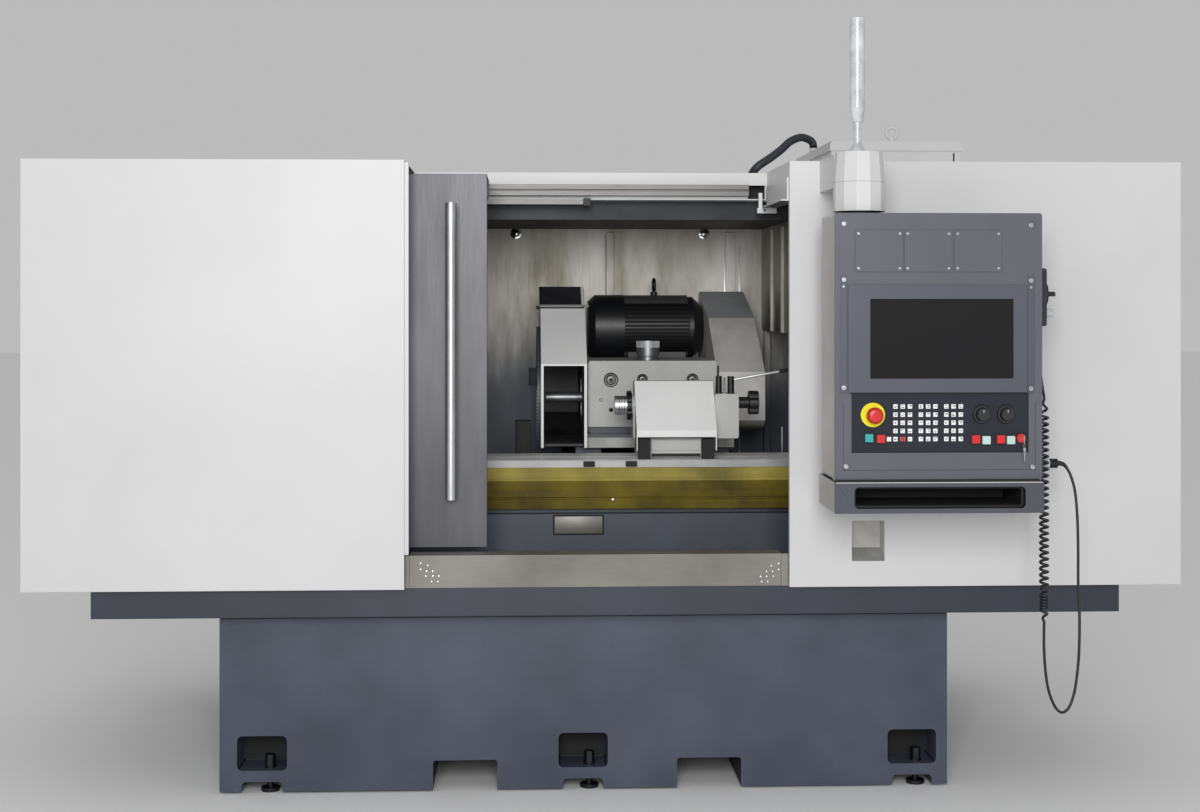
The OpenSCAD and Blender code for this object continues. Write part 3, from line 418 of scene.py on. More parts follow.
# Inside and cap of the wheel guard: the enamel darkened with painted shade inside and a painted dark
# reflection on the cap, blotchy
GUARD_INSIDE_SHADE = Finish(
    "guard_enamel_painted_shade", "#2F3033", "motor_black", "#29292C", roughness=0.5, fine=(4, 0.06),
    bump_mm=0.03, mottle=(70, 0.12)
)
# The same sheet on the belt guard's top, a tone darker with painted shade
BELT_DARK = Finish(
    "enamelled_sheet_top_shade", "#A2A5A8", "guard_grey", "#94979A", fine=(4, 0.02), bump_mm=0.02,
    mottle=(160, 0.05)
)
# A pale satin grey on the left sides of the pendant and tray, and a painted highlight along the tray's top
# edge
PALE_SIDE_AND_HIGHLIGHT = Finish(
    "pale_side_and_painted_highlight", "#CAC8C6", "pendant_grey", "#C3C1BF", metallic=0.2, fine=(1.5, 0.02),
    mottle=(200, 0.02), grain=Grain.ALONG_Z
)
# Zinc-plated pan-head screws: small clear glints
SCREW_BRIGHT = Finish(
    "zinc_plated_screw", "#BCBEC0", "bright_bar", metallic=0.9, roughness=0.28, fine=(1.5, 0.03),
    bump_mm=0.005, mottle=(40, 0.05)
)
# Cast iron of the bed under thin enamel, greyer than the base
BED_GREY = Finish(
    "enamelled_bed_slate", "#434956", "cast_paint", "#3D434E", roughness=0.4, fine=(8, 0.02), bump_mm=0.12,
    mottle=(200, 0.06)
)


# ---- mesh helpers


def settle(obj: Object, finish: Finish, body: str, *replaced: str) -> Object:
    """Dress a finished piece and tie it to its body.

    Args:
        obj: The piece, at the origin.
        finish: Its surface finish.
        body: The CAD body that carries it.
        replaced: CAD nodes that it stands for.

    Returns:
        The same object.
    """
    obj.data.materials.clear()
    obj.data.materials.append(finish.build())
    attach(obj, body)
    if replaced:
        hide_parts(*replaced)
    LOG.info("piece %s on %s", obj.name, body)
    return obj


def linked(name: str, data: ID) -> Object:
    """Make an object of the given data and link it to the scene.

    Args:
        name: The object's name.
        data: Its mesh, curve, light or camera.

    Returns:
        The new object.
    """
    obj = bpy.data.objects.new(name, data)
    bpy.context.scene.collection.objects.link(obj)
    return obj


def smooth_by_angle(mesh: Mesh, degrees: float = 32.0) -> None:
    """Shade a mesh smooth and keep its real edges sharp.

    Args:
        mesh: The mesh.
        degrees: Least angle at which an edge stays sharp.
    """
    mesh.polygons.foreach_set("use_smooth", [True] * len(mesh.polygons))
    mesh.set_sharp_from_angle(angle=math.radians(degrees))


def piece_from(bm: BMesh, name: str) -> Object:
    """Turn a bmesh into a linked object with outward normals.

    Args:
        bm: The mesh data, freed here.
        name: The new object's name.

    Returns:
        The new object at the origin.
    """
    bmesh.ops.recalc_face_normals(bm, faces=bm.faces)
    mesh = bpy.data.meshes.new(name)
    bm.to_mesh(mesh)
    bm.free()
    smooth_by_angle(mesh)
    return linked(name, mesh)


@contextmanager
def making(name: str, finish: Finish, body: str) -> Iterator[BMesh]:
    """Open the mesh of a small piece, then finish the piece and tie it to its body.

    Args:
        name: Name of the piece.
        finish: Its surface finish.
        body: The body that carries it.

    Yields:
        The mesh that takes its shapes.
    """
    bm = bmesh.new()
    yield bm
    settle(piece_from(bm, name), finish, body)


def turned(axis: Point | Vector) -> Matrix:
    """Work out the turn that takes the Z axis to another one.

    Args:
        axis: The other axis, of any length.

    Returns:
        The turn.
    """
    return Vector(UP).rotation_difference(Vector(axis).normalized()).to_matrix().to_4x4()


def soften(bm: BMesh, edges: list, width: float) -> None:
    """Round edges off in two steps.

    Args:
        bm: The mesh that has them.
        edges: The edges.
        width: Width of the rounding in metres.
    """
    bmesh.ops.bevel(bm, geom=edges, offset=width, affect="EDGES", segments=2, profile=0.5, material=-1)


def add_block(bm: BMesh, low: Point, high: Point, edge: float = 0.0) -> None:
    """Add a box with softened edges.

    Args:
        bm: The mesh that takes it.
        low: Its lowest corner.
        high: Its highest corner.
        edge: Width of the softened edge, 0 for none.
    """
    size = [max(1e-5, b - a) for a, b in zip(low, high)]
    middle = [(a + b) / 2 for a, b in zip(low, high)]
    place = Matrix.Translation(middle) @ Matrix.Diagonal((*size, 1.0))
    verts = bmesh.ops.create_cube(bm, size=1.0, matrix=place)["verts"]
    if edge > 0:
        soften(bm, list({e for v in verts for e in v.link_edges}), edge)


def add_round(
    bm: BMesh, centre: Point | Vector, axis: Point, radius: float, length: float,
    radius_end: float | None = None, sides: int = 32, edge: float = 0.0
) -> None:
    """Add a cylinder or cone that starts at a point and runs along an axis.

    Args:
        bm: The mesh that takes it.
        centre: Centre of its first end.
        axis: Direction in which it runs.
        radius: Radius at its first end.
        length: Its length.
        radius_end: Radius at its far end, the same where left out.
        sides: Number of sides.
        edge: Width of the softened rims, 0 for none.
    """
    place = Matrix.Translation(centre) @ turned(axis) @ Matrix.Translation((0, 0, length / 2))
    end = radius if radius_end is None else radius_end
    verts = bmesh.ops.create_cone(
        bm, cap_ends=True, segments=sides, radius1=radius, radius2=end, depth=length, matrix=place
    )["verts"]
    if edge > 0:
        edges = {e for v in verts for e in v.link_edges}
        rims = [e for e in edges if len(e.link_faces) == 2 and any(len(f.verts) > 4 for f in e.link_faces)]
        soften(bm, rims, edge)


def dome(bm: BMesh, centre: Point, axis: Point, radius: float, height: float, sides: int = 20) -> None:
    """Add a low domed head on a flat face.

    Args:
        bm: The mesh that takes it.
        centre: Centre of its foot.
        axis: Direction in which it stands out.
        radius: Radius of its foot.
        height: Height of the dome.
        sides: Number of sides.
    """
    steps, blunt = 4, 0.0004
    way = Vector(axis).normalized()
    for k in range(steps):
        low, high = k / steps, (k + 1) / steps
        r0 = radius * math.sqrt(1 - low * low)
        r1 = radius * math.sqrt(max(blunt, 1 - high * high))
        add_round(bm, Vector(centre) + way * height * low, axis, r0, height / steps, r1, sides)


def ring(bm: BMesh, centre: Point, axis: Point, radius: float, wire: float) -> None:
    """Add a round ring of round wire.

    Args:
        bm: The mesh that takes it.
        centre: Its centre.
        axis: Its axis.
        radius: Radius to the middle of the wire.
        wire: Radius of the wire.
    """
    profile = Matrix.Translation((radius, 0, 0)) @ Matrix.Rotation(math.radians(90), 4, "X")
    place = Matrix.Translation(centre) @ turned(axis) @ profile
    made = bmesh.ops.create_circle(bm, segments=8, radius=wire, matrix=place)["verts"]
    edges = list({e for v in made for e in v.link_edges})
    bmesh.ops.spin(
        bm, geom=made + edges, cent=centre, axis=Vector(axis), angle=2 * math.pi, steps=28, use_merge=True
    )


def add_tube(bm: BMesh, stations: list[tuple[Vector, Vector, float]], sides: int = 18) -> None:
    """Add a closed tube through circles of given size.

    Args:
        bm: The mesh that takes it.
        stations: Centre, direction and radius of each circle, in order.
        sides: Number of sides.
    """
    last: list = []
    for centre, way, radius in stations:
        place = Matrix.Translation(centre) @ turned(way)
        made = bmesh.ops.create_circle(bm, segments=sides, radius=radius, matrix=place)["verts"]
        loop = list({e for v in made for e in v.link_edges})
        if last:
            bmesh.ops.bridge_loops(bm, edges=last + loop)
        last = loop
    bmesh.ops.holes_fill(bm, edges=bm.edges, sides=sides + 6)


def paint(obj: Object, finish: Finish, low: Point, high: Point, facing: Point | None = None) -> None:
    """Give the faces of a piece inside a box a second finish.

    Args:
        obj: The piece.
        finish: The finish of those faces.
        low: Lowest corner of the box.
        high: Highest corner of the box.
        facing: Direction that those faces look in, any where left out.
    """
    mesh = obj.data
    mat = finish.build()
    if mat.name not in mesh.materials:
        mesh.materials.append(mat)
    index = mesh.materials.find(mat.name)
    for poly in mesh.polygons:
        inside = all(a <= c <= b for a, c, b in zip(low, poly.center, high))
        if inside and (facing is None or poly.normal.dot(Vector(facing)) > SAME_WAY):
            poly.material_index = index


def applied(obj: Object) -> Mesh:
    """Apply an object's modifiers.

    Args:
        obj: The object.

    Returns:
        Its new mesh.
    """
    depsgraph = bpy.context.evaluated_depsgraph_get()
    obj.data = bpy.data.meshes.new_from_object(obj.evaluated_get(depsgraph))
    obj.modifiers.clear()
    return obj.data


def refine(
    node: str, finish: Finish, edge_mm: float, body: str, *patches: tuple, crease: float = 38.0
) -> Object:
    """Replace a CAD node with a merged copy whose edges are softened.

    Args:
        node: The CAD node.
        finish: Its surface finish.
        edge_mm: Width of the softened edges in millimetres.
        body: The body that carries it.
        patches: Second finishes, each with the box and the direction that paint takes.
        crease: Angle above which an edge counts as a real one, in degrees.

    Returns:
        The new piece.
    """
    bm = bmesh.new()
    bm.from_mesh(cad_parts[node].data)
    bmesh.ops.remove_doubles(bm, verts=bm.verts, dist=WELD)
    bmesh.ops.dissolve_limit(bm, angle_limit=math.radians(FLAT_DEG), verts=bm.verts, edges=bm.edges)
    mesh = bpy.data.meshes.new(node + "_skin")
    bm.to_mesh(mesh)
    bm.free()
    obj = linked(node + "_skin", mesh)
    bevel = obj.modifiers.new("soft_edges", "BEVEL")
    bevel.width = edge_mm * MM
    bevel.segments = 2
    bevel.limit_method = "ANGLE"
    bevel.angle_limit = math.radians(crease)
    bevel.harden_normals = False
    bevel.use_clamp_overlap = True
    smooth_by_angle(applied(obj), crease + 2 if crease > 30 else crease)
    flat = obj.modifiers.new("flat_faces", "WEIGHTED_NORMAL")
    flat.keep_sharp = True
    flat.weight = 100
    applied(obj)
    settle(obj, finish, body, node)
    for patch in patches:
        paint(obj, *patch)
    return obj


def refine_all(body: str, *rows: tuple) -> None:
    """Refine several CAD nodes of one body.

    Args:
        body: The body that carries them.
        rows: For each node its name, finish, edge in millimetres and patches.
    """
    for node, finish, edge_mm, *patches in rows:
        refine(node, finish, edge_mm, body, *patches)


def dress(node: str, finish: Finish) -> None:
    """Give a CAD node its finish and leave its mesh alone.

    Args:
        node: The CAD node.
        finish: Its surface finish.
    """
    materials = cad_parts[node].data.materials
    materials.clear()
    materials.append(finish.build())


# ---- camera, light and floor


@dataclass
class Studio:
    """Camera, floor and soft light."""

    eye: Point = (-0.233, -5.313, 1.313)
    yaw_deg: float = 2.545
    focal_mm: float = 54.0
    shift_y: float = -0.0883
    room_strength: float = 0.5
    panel_place: Point = (-0.45, -6.8, 2.45)
    panel_aim: Point = (0.0, 0.2, 1.1)
    panel_size: float = 2.2
    panel_watts: float = 240.0

    def camera(self) -> None:
        """Place the camera at eye height, level, a little to the left of the machine's middle."""
        data = bpy.data.cameras.new("eye")
        data.sensor_width = 36.0
        data.lens = self.focal_mm
        data.shift_y = self.shift_y
        data.clip_end = 60
        obj = linked("eye", data)
        obj.location = self.eye
        obj.rotation_euler = (math.radians(90), 0, math.radians(-self.yaw_deg))
        bpy.context.scene.camera = obj

    def floor(self) -> None:
        """Lay a wide plain floor of pale matte paint."""
        bm = bmesh.new()
        bmesh.ops.create_grid(bm, x_segments=1, y_segments=1, size=40.0)
        obj = piece_from(bm, "floor")
        mat = bpy.data.materials.new("floor_paint_pale")
        mat.use_nodes = True
        bsdf = mat.node_tree.nodes["Principled BSDF"]
        bsdf.inputs["Base Color"].default_value = linear("#F1F1F1")
        bsdf.inputs["Roughness"].default_value = 0.9
        obj.data.materials.append(mat)

    def light(self) -> None:
        """Light the machine from a pale room and one large soft panel in front."""
        world = bpy.data.worlds.new("pale_room")
        world.use_nodes = True
        back = world.node_tree.nodes["Background"]
        back.inputs["Color"].default_value = (1.0, 1.0, 1.0, 1.0)
        back.inputs["Strength"].default_value = self.room_strength
        bpy.context.scene.world = world
        data = bpy.data.lights.new("front_panel", "AREA")
        data.shape = "SQUARE"
        data.size = self.panel_size
        data.energy = self.panel_watts
        obj = linked("front_panel", data)
        obj.location = self.panel_place
        view = Vector(self.panel_aim) - Vector(self.panel_place)
        obj.rotation_euler = view.to_track_quat("-Z", "Y").to_euler()

    def build(self) -> None:
        """Set up the whole studio."""
        self.camera()
        self.floor()
        self.light()
        view = bpy.context.scene.view_settings
        view.view_transform = "Standard"
        view.look = "None"


# ---- cords


def along(route: tuple[Point, ...], steps: int) -> list[Vector]:
    """Return a smooth route through the given points.

    Args:
        route: The points, in order.
        steps: Number of steps for each span.

    Returns:
        Points along a Catmull-Rom curve.
    """
    pts = [Vector(p) for p in route]
    made = []
    for i in range(len(pts) - 1):
        a, b, c, d = pts[max(i - 1, 0)], pts[i], pts[i + 1], pts[min(i + 2, len(pts) - 1)]
        for s in range(steps):
            t = s / steps
            bend, twist = 2 * a - 5 * b + 4 * c - d, 3 * b - a - 3 * c + d
            made.append(0.5 * (2 * b + (c - a) * t + bend * t * t + twist * t ** 3))
    made.append(pts[-1])
    return made


def cord_curve(name: str, points: list[Vector], diameter: float) -> Object:
    """Make a round cord as one open spline.

    Args:
        name: The object's name.
        points: Its centreline.
        diameter: Its diameter.

    Returns:
        The curve object.
    """
    curve = bpy.data.curves.new(name, "CURVE")
    curve.dimensions = "3D"
    curve.bevel_depth = diameter / 2
    curve.bevel_resolution = 2
    curve.use_fill_caps = True
    spline = curve.splines.new("POLY")
    spline.points.add(len(points) - 1)
    for place, point in zip(spline.points, points):
        place.co = (*point, 1.0)
    spline.use_smooth = True
    return linked(name, curve)


@dataclass
class Cords:
    """The hand unit's coiled cord and the roof's corrugated conduit.

    The coil's spans give the number of turns of each and the height at its low end. A relief tapers over its
    length from the first radius to the second.
    """

    cord: float = 0.007
    coil_radius: float = 0.0095
    coil_top: float = 1.070
    coil_steps: int = 14
    coil_spans: tuple[tuple[float, float], ...] = ((1.5, 1.025), (28.0, 0.575), (5.0, 0.5375), (1.5, 0.500))
    relief: float = 0.032
    relief_radii: tuple[float, float] = (0.0068, 0.0040)
    lead_steps: int = 5
    lead_top: tuple[Point, ...] = (
        (1.066, -0.856, 1.246), (1.066, -0.857, 1.200), (1.070, -0.856, 1.130), (1.079, -0.856, 1.070))
    lead_low: tuple[Point, ...] = (
        (1.079, -0.856, 0.500), (1.079, -0.856, 0.440), (1.083, -0.856, 0.380), (1.092, -0.855, 0.330),
        (1.108, -0.854, 0.292), (1.126, -0.852, 0.278), (1.144, -0.850, 0.290), (1.158, -0.848, 0.326),
        (1.167, -0.846, 0.380), (1.172, -0.844, 0.440), (1.174, -0.840, 0.520), (1.172, -0.836, 0.600),
        (1.173, -0.832, 0.690), (1.172, -0.828, 0.770), (1.168, -0.822, 0.830), (1.158, -0.818, 0.870),
        (1.146, -0.815, 0.892), (1.136, -0.815, 0.899), (1.124, -0.815, 0.900))
    hose: float = 0.026
    hose_groove: float = 0.0025
    hose_steps: int = 24
    hose_route: tuple[Point, ...] = (
        (0.452, 0.254, 1.574), (0.455, 0.254, 1.625), (0.470, 0.257, 1.674), (0.501, 0.266, 1.723),
        (0.554, 0.330, 1.760), (0.599, 0.405, 1.792), (0.641, 0.485, 1.826), (0.688, 0.580, 1.848),
        (0.722, 0.645, 1.850), (0.746, 0.686, 1.842), (0.753, 0.700, 1.823))

    def helix(self) -> list[Vector]:
        """Work out the coil: stretched above, slack below and drawn out at both ends.

        Returns:
            Its centreline, from above.
        """
        x, y, _ = self.lead_top[-1]
        total = sum(turns for turns, _ in self.coil_spans)
        eased = self.coil_spans[0][0]
        points = []
        top, done = self.coil_top, 0.0
        for turns, low in self.coil_spans:
            count = round(turns * self.coil_steps)
            for i in range(count):
                turn = done + turns * i / count
                ease = min(1.0, turn / eased, (total - turn) / eased)
                r = self.coil_radius * ease * ease * (3 - 2 * ease)
                angle = 2 * math.pi * turn
                z = top + (low - top) * i / count
                points.append(Vector((x + r * math.cos(angle), y + r * math.sin(angle), z)))
            top, done = low, done + turns
        return points

    def unit_cord(self) -> None:
        """Make the whole cord, from the hand unit through its coil to its socket, and its strain reliefs."""
        top, low = along(self.lead_top, self.lead_steps), along(self.lead_low, self.lead_steps)
        points = top[:-1] + self.helix() + low
        obj = cord_curve("unit_cord", points, self.cord)
        settle(obj, CORD_BLACK, "pendant", "curly_cord", "unit_lead")
        for name, route in (("lead_relief_unit", top), ("lead_relief_socket", low[::-1])):
            self.strain_relief(name, route)

    def strain_relief(self, name: str, route: list[Vector]) -> None:
        """Make a tapered sleeve round the first stretch of a lead.

        Args:
            name: Name of the sleeve.
            route: The lead's centreline, from its housing.
        """
        wide, thin = self.relief_radii
        stations, gone = [], 0.0
        for a, b in zip(route, route[1:]):
            if gone > self.relief:
                break
            stations.append((a, b - a, wide - (wide - thin) * gone / self.relief))
            gone += (b - a).length
        with making(name, GRIP_BLACK, "pendant") as bm:
            add_tube(bm, stations)

    def conduit(self) -> None:
        """Make the corrugated conduit as rings bridged along its route."""
        points = along(self.hose_route, self.hose_steps)
        wide = self.hose / 2
        stations = [
            (point, points[min(i + 1, len(points) - 1)] - points[max(i - 1, 0)],
             wide if i % 2 else wide - self.hose_groove)
            for i, point in enumerate(points)
        ]
        bm = bmesh.new()
        add_tube(bm, stations)
        obj = settle(piece_from(bm, "roof_conduit"), HOSE_BLACK, "machine", "conduit_hose")

    def build(self) -> None:
        """Make both cords."""
        self.unit_cord()
        self.conduit()


# ---- machine


@dataclass
class Enclosure:
    """Base, deck, guards, lining, beam and sill."""

    windows: tuple[float, ...] = (-0.918, -0.064, 0.824)
    passages: tuple[tuple[float, float], ...] = ((-0.465, -0.294), (0.188, 0.361))
    roof_foot: float = 1.555
    rivet_spots_mm: tuple[tuple[int, int], ...] = (
        (5, 18), (24, 24), (24, 8), (-8, 3), (8, 3), (-24, -10), (-8, -10), (10, -10), (-21, -24), (-5, -24))

    def skins(self) -> None:
        """Soften the edges of the sheet metal and the castings."""
        # Painted shade: the base's windows and the passages under it are black inside
        hollows = [(RUBBER_BLACK_AND_SHADE, (x - 0.064, -0.49, 0.064), (x + 0.064, -0.37, 0.152)) for x in self.windows]
        hollows += [(RUBBER_BLACK_AND_SHADE, (a - 0.001, -0.49, 0.0), (b + 0.001, 0.79, 0.085)) for a, b in self.passages]
        refine_all(
            "machine",
            ("base_casting", CAST_BLUE, 3.0, *hollows),
            # The drip deck is darkened with painted shade
            ("drip_deck", DECK_BLUE, 2.0),
            ("left_guard", GUARD_WHITE, 1.2),
            ("right_guard", GUARD_WHITE, 1.2,
             # Painted shade in the right guard's recess
             (GUARD_RECESS_SHADE, (0.6425, -0.5945, 0.6235), (0.7295, -0.536, 0.7305))),
            # Painted shade: the roof beam's hollow inside is black
            ("roof_beam", GUARD_WHITE, 1.5, (RUBBER_BLACK_AND_SHADE, (-0.54, -0.162, 1.603), (0.478, -0.108, 1.675))),
            ("door_rails", RAIL_ALUMINIUM, 1.0,
             # Painted shade: the rails' end block is dark like the ceiling above it
             (CEILING_SHADE, (-0.053, -0.197, 1.58), (-0.031, -0.164, 1.604))),
            ("rail_bracket", GUARD_WHITE, 1.0,
             (RAIL_ALUMINIUM, (0.44, -0.2, 1.56), (0.51, -0.17, 1.5755)),
             (RAIL_ALUMINIUM, (0.456, -0.58, 1.575), (0.501, -0.17, 1.577), DOWN)),
            ("front_sill", SILL_STEEL, 1.2),
            ("rear_cabinet", GUARD_WHITE, 1.5),
            ("levelling_jacks", BLACK_STEEL_AND_SHADE, 1.0),
            ("lamp_pole", LAMP_GREY, 0.6),
            ("lamp_lenses", LAMP_GREY, 1.0),
        )
        refine("swivel_arm", GUARD_WHITE, 1.2, "machine", crease=25)

    def lining(self) -> None:
        """Dress the cabin: bright walls darkened towards the foot with painted shade, a ceiling and header
        darkened with painted shade, and outsides like the guards.
        """
        low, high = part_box("cabin_lining")
        near = 0.002
        x0, y0, z0, x1, y1, z1 = *low, *high
        refine(
            "cabin_lining", LINING_STEEL, 0.8, "machine",
            # Painted shade on the ceiling and header
            (CEILING_SHADE, (-0.6, -0.11, 1.543), (0.61, 0.86, 1.61)),
            (GUARD_WHITE, (x0, y0, self.roof_foot), (x1, y1, z1 + near), UP),
            (GUARD_WHITE, (x0, y1 - near, z0), (x1, y1 + near, z1), BACK),
            (GUARD_WHITE, (x0 - near, y0, z0), (x0 + near, y1, z1), LEFT),
            (GUARD_WHITE, (x1 - near, y0, z0), (x1 + near, y1, z1), RIGHT),
        )
        wall = high[1] - 0.003
        with making("wall_bolts", CHROME, "machine") as bm:
            for x in (-0.2465, 0.398):
                add_round(bm, (x, wall, 1.541), FRONT, 0.019, 0.003, sides=28, edge=0.0005)
                dome(bm, (x, wall - 0.003, 1.541), FRONT, 0.013, 0.011, 24)
        with making("wall_seam", RUBBER_BLACK_AND_SHADE, "machine") as bm:
            add_block(bm, (0.060, wall - 0.0006, 0.72), (0.0625, wall, 1.54))
        with making("wall_beads", SATIN_CHROME, "machine") as bm:
            for x, wide in ((0.086, 0.003), (0.468, 0.006), (0.493, 0.008), (0.519, 0.004)):
                add_block(bm, (x, wall - 0.0012, 0.72), (x + wide, wall, 1.50), 0.0004)

    def front(self) -> None:
        """Dress the bed, fill its blank plate frame, and add the sill's rivets and end."""
        refine("machine_bed", BED_GREY, 1.5, "machine",
               (RUBBER_BLACK_AND_SHADE, (-0.139, -0.1285, 0.6355), (0.0095, -0.1241, 0.6945)))
        with making("bed_blank_plate", SILL_STEEL, "machine") as bm:
            add_block(bm, (-0.1335, -0.1292, 0.6405), (0.0045, -0.1279, 0.6895), 0.0005)
        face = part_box("front_sill")[0][1] + 0.003
        with making("sill_rivets", SCREW_BRIGHT, "machine") as bm:
            for x, z, side in ((-0.470, 0.597, -1), (0.428, 0.5905, 1)):
                for dx, dz in self.rivet_spots_mm:
                    dome(bm, (x + side * dx * MM, face, z + dz * MM), FRONT, 0.0036, 0.0016, 12)
        with making("sill_end", SILL_STEEL, "machine") as bm:
            add_block(bm, (-0.5352, -0.5685, 0.5565), (-0.5235, -0.5630, 0.6415))

    def small_parts(self) -> None:
        """Add the cabinet's seam, the bracket's bolts, the recess's ramp, a black block and the coolant pipe.
        """
        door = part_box("rear_cabinet")[0][1] + 0.0038
        with making("cabinet_seam", RUBBER_BLACK_AND_SHADE, "machine") as bm:
            add_block(bm, (1.1205, door, 0.57), (1.1255, door + 0.0008, 1.772))
        with making("bracket_bolts", CHROME, "machine") as bm:
            add_round(bm, (0.478, -0.291, 1.576), DOWN, 0.0075, 0.006, sides=6, edge=0.0006)
            add_round(bm, (0.4645, -0.1965, 1.569), FRONT, 0.004, 0.003, sides=20)
        # The ramp in the recess: painted shade
        with making("recess_ramp", GUARD_SHADE, "machine") as bm:
            profile = ((-0.594, 0.6242), (-0.5385, 0.6242), (-0.5385, 0.652))
            verts = [bm.verts.new((x, y, z)) for x in (0.6434, 0.7286) for y, z in profile]
            bmesh.ops.convex_hull(bm, input=verts)
        # A black block behind the table
        with making("black_block", RUBBER_BLACK_AND_SHADE, "machine") as bm:
            add_block(bm, (-0.248, 0.158, 0.697), (-0.200, 0.214, 0.946), 0.002)
        with making("coolant_pipe", BRIGHT_STEEL, "machine") as bm:
            add_round(bm, (0.573, 0.200, 0.697), UP, 0.0028, 0.225, sides=16)

    def build(self) -> None:
        """Dress the enclosure and add its small parts."""
        self.skins()
        self.lining()
        self.front()
        self.small_parts()


@dataclass
class SlidingDoor:
    """Door skin, handle bar and carriages."""

    skin_edge_mm: float = 1.2
    handle_edge_mm: float = 2.0
    carriage_edge_mm: float = 1.0

    def build(self) -> None:
        """Dress the door."""
        refine_all(
            "door",
            ("sliding_door", DOOR_STEEL, self.skin_edge_mm),
            ("door_handle", BRIGHT_STEEL, self.handle_edge_mm),
            ("door_carriages", BLACK_STEEL_AND_SHADE, self.carriage_edge_mm),
        )


@dataclass
class WorkTable:
    """Table, workhead and tailstock."""

    grooves: tuple[float, float, float] = (0.058, 0.0655, 0.073)
    groove_width: float = 0.0016
    pin_radius: float = 0.031
    pin_ease: float = 0.98

    def table(self) -> None:
        """Dress the two tables, their oiled flanks and the black stops; free the pivot pin in its bore."""
        refine("lower_table", OIL_DARK, 1.0, "table")
        upper = refine(
            "upper_table", GROUND_STEEL, 1.0, "swivel_table",
            (OIL_LIGHT, (-0.81, -0.13, 0.78), (0.81, -0.117, 0.8305)),
            # Painted reflection on the table's upper face
            (TABLE_FACE, (-0.81, -0.1245, 0.8495), (0.81, 0.13, 0.851), UP),
            (RUBBER_BLACK_AND_SHADE, (-0.0505, -0.137, 0.83), (-0.0175, -0.1235, 0.85)),
            (RUBBER_BLACK_AND_SHADE, (0.0715, -0.137, 0.83), (0.1045, -0.1235, 0.85)),
        )
        for vertex in upper.data.vertices:
            if math.hypot(vertex.co.x, vertex.co.y) < self.pin_radius:
                vertex.co.x *= self.pin_ease
                vertex.co.y *= self.pin_ease
        with making("table_screw", SCREW_BRIGHT, "table") as bm:
            dome(bm, (0.0353, -0.124, 0.736), FRONT, 0.0055, 0.002475, 14)

    def quill(self) -> None:
        """Dress the quill and cut its faces where its dark bands lie, then paint them as the shade of its
        ring grooves.
        """
        quill = refine("tail_quill", BRIGHT_STEEL, 1.5, "quill")
        mesh = quill.data
        bm = bmesh.new()
        bm.from_mesh(mesh)
        for x in (a + b for a in self.grooves for b in (0.0, self.groove_width)):
            parts = bm.verts[:] + bm.edges[:] + bm.faces[:]
            bmesh.ops.bisect_plane(bm, geom=parts, plane_co=(x, 0, 0), plane_no=RIGHT)
        bm.to_mesh(mesh)
        bm.free()
        if "custom_normal" in mesh.attributes:
            mesh.attributes.remove(mesh.attributes["custom_normal"])
        smooth_by_angle(mesh)
        # The dark bands are painted shade for the ring grooves
        for x in self.grooves:
            paint(quill, BLACK_STEEL_AND_SHADE, (x, -0.03, 0.97), (x + self.groove_width, 0.03, 1.04))

    def tailstock(self) -> None:
        """Dress the tailstock's body, cover, quill, lever and knob."""
        feet = [(RUBBER_BLACK_AND_SHADE, (x - 0.001, -0.1, 0.86), (x + 0.036, -0.0605, 0.912)) for x in (0.111, 0.297)]
        refine_all(
            "swivel_table",
            ("tailstock_body", HEAD_PAINT, 1.5, *feet,
             (GRIP_BLACK, (0.345, -0.012, 1.0375), (0.366, 0.012, 1.12)),
             (CHROME, (0.369, -0.004, 1.0375), (0.375, 0.004, 1.09)),
             (BLACK_STEEL_AND_SHADE, (0.0815, -0.05, 0.94), (0.0965, 0.05, 1.06))),
            # The cover's white is brighter than the outer sheets: painted light
            ("tailstock_cover", HEAD_WHITE, 0.8,
             # Painted shade on the cover's left side
             (BAND_DARK, (0.1045, -0.11, 0.87), (0.1055, 0.07, 1.08), LEFT)),
        )
        self.quill()
        refine("tail_lever", SATIN_CHROME, 1.0, "quill_lever",
               (GRIP_BLACK, (0.379, -0.021, 1.03), (0.401, 0.001, 1.0875)),
               (GRIP_BLACK, (0.5325, -0.03, 1.09), (0.60, 0.01, 1.12)))
        refine("tail_knob", GRIP_BLACK, 2.0, "pressure_knob")

    def build(self) -> None:
        """Dress the table, the tailstock and the workhead behind the open door."""
        self.table()
        self.tailstock()
        refine("workhead_body", HEAD_PAINT, 2.0, "swivel_table")
        refine("workhead_spindle", CHROME, 1.0, "work_spindle")


